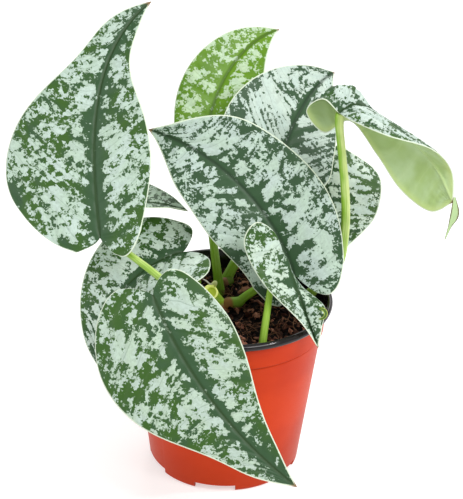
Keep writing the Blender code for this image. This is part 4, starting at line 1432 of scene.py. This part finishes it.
def build_soil_bed(material):
    profile = cavity_profile(GAP, SOIL_LEVEL)
    edge = profile[-1][0]
    rings = [(edge * (1 - k / SOIL_RINGS), SOIL_LEVEL) for k in range(1, SOIL_RINGS + 1)]
    mesh = turned_mesh("soil_bed_mesh", profile + rings, SOIL_SEGMENTS)
    for vertex in mesh.vertices:
        if vertex.co.z > (SOIL_LEVEL - 0.5) * MM:
            vertex.co.z = soil_top(vertex.co.x / MM, vertex.co.y / MM) * MM
    mesh.shade_smooth()
    add_piece("soil_bed", mesh, (material,), "potting_soil", "soil")


def earth_material(name, colour, tint, roughness):
    """Crumbly soil or husk in two tones, with a finer dark grain."""
    paint = Paint(name)
    where = paint.place()
    fine = paint.clouds(where, 1.9, 4.0, 0.65)
    mixed = paint.coats(
        colour,
        (paint.step(paint.clouds(where, 0.35, 3.0), 0.40, 0.62), tint, 1),
        (paint.step(fine, 0.42, 0.66), scaled(colour, 0.35), 1),
    )
    return paint.finish(mixed, fine, 1.0, 0.0009, roughness, 0.12)


def thrown(rng, reach):
    """Even random place in a circle."""
    radius = reach * math.sqrt(rng.random())
    return polar(radius, rng.random() * 2 * math.pi)


def build_chips(settings, materials):
    """Coir chips: flattened lumps with torn outlines, thrown over the soil."""
    rng = np.random.default_rng(5)
    reach = cavity_profile(GAP, SOIL_LEVEL)[-1][0]
    shape = bmesh.new()
    bmesh.ops.create_icosphere(shape, subdivisions=2, radius=1.0)
    corners = np.array([v.co for v in shape.verts])
    faces = [[v.index for v in f.verts] for f in shape.faces]
    shape.free()
    bm = bmesh.new()
    for _ in range(settings.chips):
        size = np.clip(rng.lognormal(-0.1, CHIP_SPREAD), *CHIP_SIZES)
        size = settings.chip_size / MM * float(size) / 2
        axes = np.array([size * rng.uniform(*limits)
                         for limits in (CHIP_LENGTHS, CHIP_WIDTHS, CHIP_HEIGHTS)])
        x, y = thrown(rng, reach - 1.5 * axes[0])
        lumps = 1 + CHIP_LUMPS * rng.standard_normal(len(corners))
        local = corners * np.clip(lumps, 0.5, 1.5)[:, None] * axes
        tilt = (Matrix.Rotation(rng.normal(0, CHIP_TILT), 3, "X")
                @ Matrix.Rotation(rng.normal(0, CHIP_TILT), 3, "Y"))
        spin = Matrix.Rotation(rng.random() * 6.28, 3, "Z") @ tilt
        placed = local @ np.array(spin).T
        height = soil_top(x, y) + size * rng.uniform(0.0, 1.0)
        made = [bm.verts.new(Vector((p[0] + x, p[1] + y, p[2] + height)) * MM) for p in placed]
        kind = int(rng.choice(len(materials), p=CHIP_KINDS))
        for face in faces:
            bm.faces.new([made[k] for k in face]).material_index = kind
    add_piece("coir_chips", finished_mesh(bm, "coir_chips_mesh"), materials, "potting_soil")


def fibre_line(rng, reach):
    """Wandering line over the chips that stops at the pot's wall."""
    place = np.array(thrown(rng, reach))
    heading = rng.random() * 2 * math.pi
    hop = rng.uniform(*FIBRE_LENGTHS) / FIBRE_STEPS
    line = []
    for k in range(FIBRE_STEPS):
        heading += rng.normal(0, FIBRE_BEND)
        place = place + hop * np.array(polar(1.0, heading))
        if np.hypot(*place) > reach:
            break
        arch = FIBRE_ARCH * math.sin(k / (FIBRE_STEPS - 1) * math.pi)
        line.append((*place, soil_top(*place) + FIBRE_LIFT + arch + rng.normal(0, 0.3)))
    return line


def build_fibres(settings, material):
    """Loose coir fibres: thin bent strands lying on the chips."""
    rng = np.random.default_rng(8)
    reach = cavity_profile(GAP, SOIL_LEVEL)[-1][0] - 4.0
    bm = bmesh.new()
    for _ in range(settings.fibres):
        line = fibre_line(rng, reach)
        if len(line) < FIBRE_FEWEST:
            continue
        thick = rng.uniform(*FIBRE_RADII)
        points = smooth_curve(line, 3 * len(line))
        last = len(points) - 1
        rings = []
        for k, point in enumerate(points):
            ahead = points[min(k + 1, last)] - points[max(k - 1, 0)]
            ahead = ahead / np.linalg.norm(ahead)
            across = np.cross(ahead, (0, 0, 1))
            across /= max(np.linalg.norm(across), 1e-6)
            other = np.cross(ahead, across)
            slim = thick * (1 - FIBRE_THINNING * (k / last))
            ring = []
            for side in range(FIBRE_SIDES):
                a, b = polar(slim, 2 * math.pi * side / FIBRE_SIDES)
                ring.append(bm.verts.new(Vector(point + a * across + b * other) * MM))
            rings.append(ring)
        close_tube(bm, rings)
    add_piece("coir_fibres", finished_mesh(bm, "coir_fibres_mesh"), (material,), "potting_soil")


# Operators

class POTHOS_OT_pot(bpy.types.Operator):
    """Builds the two-colour nursery pot with its rolled lip and feet"""
    bl_idname = "pothos.pot"
    bl_label = "Nursery pot"

    def execute(self, context):
        build_pot(context.scene.pothos.pot)
        return {"FINISHED"}


class POTHOS_OT_soil(bpy.types.Operator):
    """Fills the pot with soil, coir chips and loose fibres"""
    bl_idname = "pothos.soil"
    bl_label = "Potting soil"

    def execute(self, context):
        settings = context.scene.pothos.soil
        earth, chip = tuple(settings.earth), tuple(settings.chip)
        build_soil_bed(earth_material("soil_fine", earth, scaled(earth, 1.3), 0.95))
        build_chips(settings, (
            earth_material("chip_brown", chip, (0.130, 0.050, 0.028), 0.8),
            earth_material("chip_dark", scaled(chip, 0.12), (0.012, 0.004, 0.003), 0.85),
            # Tan chips: partly coir's own colour, partly painted highlights in their brightness
            earth_material("chip_tan", (0.50, 0.220, 0.140), (0.26, 0.090, 0.050), 0.45),
        ))
        build_fibres(settings, earth_material("fibre", (0.26, 0.13, 0.07), (0.14, 0.06, 0.03), 0.7))
        return {"FINISHED"}


class POTHOS_OT_stems(bpy.types.Operator):
    """Builds the ten petioles, the cut end of the old vine and its trimmings"""
    bl_idname = "pothos.stems"
    bl_label = "Stems"

    def execute(self, context):
        settings = context.scene.pothos.stems
        skin = stem_skin(settings)
        for leaf in LEAVES:
            build_petiole(leaf, settings, skin)
        build_vine(settings)
        build_trimmings(settings)
        return {"FINISHED"}


class POTHOS_OT_blades(bpy.types.Operator):
    """Builds the ten variegated leaf blades and their dried tips"""
    bl_idname = "pothos.blades"
    bl_label = "Leaf blades"

    def execute(self, context):
        for leaf in LEAVES:
            build_blade(leaf, context.scene.pothos.blades)
        build_tips()
        return {"FINISHED"}


class POTHOS_OT_stage(bpy.types.Operator):
    """Sets the pale floor, the soft lights and the camera"""
    bl_idname = "pothos.stage"
    bl_label = "Stage"

    def execute(self, context):
        settings = context.scene.pothos.stage
        build_floor(settings)
        build_lights(settings)
        build_camera(settings)
        return {"FINISHED"}


def build_floor(settings):
    bm = bmesh.new()
    bmesh.ops.create_grid(bm, x_segments=8, y_segments=8, size=FLOOR_SIZE)
    mesh = finished_mesh(bm, "floor_mesh")
    floor = add_object("floor", mesh)
    floor.location.z = -FLOOR_DROP
    paint = Paint("floor_paper")
    pale = tuple(settings.floor)
    colour = paint.mix(paint.clouds(paint.place(), 0.01, 2.0), pale, scaled(pale, 0.985))
    paint.feed(paint.shader.inputs["Base Color"], colour)
    paint.feed(paint.shader.inputs["Roughness"], 0.9)
    paint.glow((1.0, 1.0, 1.0), settings.glow)
    mesh.materials.append(paint.material)


def build_lights(settings):
    for name, place, aim, size, share in LIGHTS:
        lamp = bpy.data.lights.new(name, "AREA")
        lamp.shape = "SQUARE"
        lamp.size = size
        lamp.energy = settings.key_power * share
        item = add_object(name, lamp)
        item.location = place
        item.rotation_mode = "QUATERNION"
        item.rotation_quaternion = (Vector(aim) - Vector(place)).to_track_quat("-Z", "Y")
    world = bpy.data.worlds.new("white_surround")
    bpy.context.scene.world = world
    world.use_nodes = True
    bpy.context.scene.view_settings.view_transform = "Standard"
    background = world.node_tree.nodes["Background"]
    background.inputs["Color"].default_value = (1.0, 1.0, 1.0, 1.0)
    background.inputs["Strength"].default_value = settings.sky


def build_camera(settings):
    lens = bpy.data.cameras.new("camera")
    lens.sensor_width = SENSOR_WIDTH
    lens.lens = settings.focal_pixels * SENSOR_WIDTH / FRAME_PIXELS
    lens.clip_start, lens.clip_end = CAMERA_REACH
    camera = add_object("camera", lens)
    ahead = Vector((0.0, math.cos(settings.elevation), -math.sin(settings.elevation)))
    right = Vector((1.0, 0.0, 0.0))
    up = right.cross(ahead)
    tipped_right = right * math.cos(settings.roll) + up * math.sin(settings.roll)
    tipped_up = up * math.cos(settings.roll) - right * math.sin(settings.roll)
    camera.rotation_mode = "QUATERNION"
    axes = Matrix((tipped_right, tipped_up, -ahead)).transposed()
    camera.rotation_quaternion = axes.to_quaternion()
    camera.location = Vector(settings.aim) - ahead * settings.distance
    bpy.context.scene.camera = camera


class POTHOS_PT_panel(bpy.types.Panel):
    """Lists the plant's pieces and their settings"""
    bl_idname = "POTHOS_PT_panel"
    bl_label = "Satin pothos"
    bl_space_type = "VIEW_3D"
    bl_region_type = "UI"
    bl_category = "Pothos"

    def draw(self, context):
        for part in ("pot", "soil", "stems", "blades", "stage"):
            group = getattr(context.scene.pothos, part)
            box = self.layout.box()
            box.operator("pothos." + part)
            for name in group.__annotations__:
                box.prop(group, name)


CLASSES = (
    PothosPot, PothosSoil, PothosBlades, PothosStems, PothosStage, PothosSettings,
    POTHOS_OT_pot, POTHOS_OT_soil, POTHOS_OT_stems, POTHOS_OT_blades, POTHOS_OT_stage,
    POTHOS_PT_panel,
)


def register():
    for item in CLASSES:
        bpy.utils.register_class(item)
    bpy.types.Scene.pothos = PointerProperty(type=PothosSettings)


def unregister():
    del bpy.types.Scene.pothos
    for item in reversed(CLASSES):
        bpy.utils.unregister_class(item)


def main():
    register()
    bpy.ops.pothos.pot()
    bpy.ops.pothos.soil()
    bpy.ops.pothos.stems()
    bpy.ops.pothos.blades()
    bpy.ops.pothos.stage()


if __name__ == "__main__":
    main()
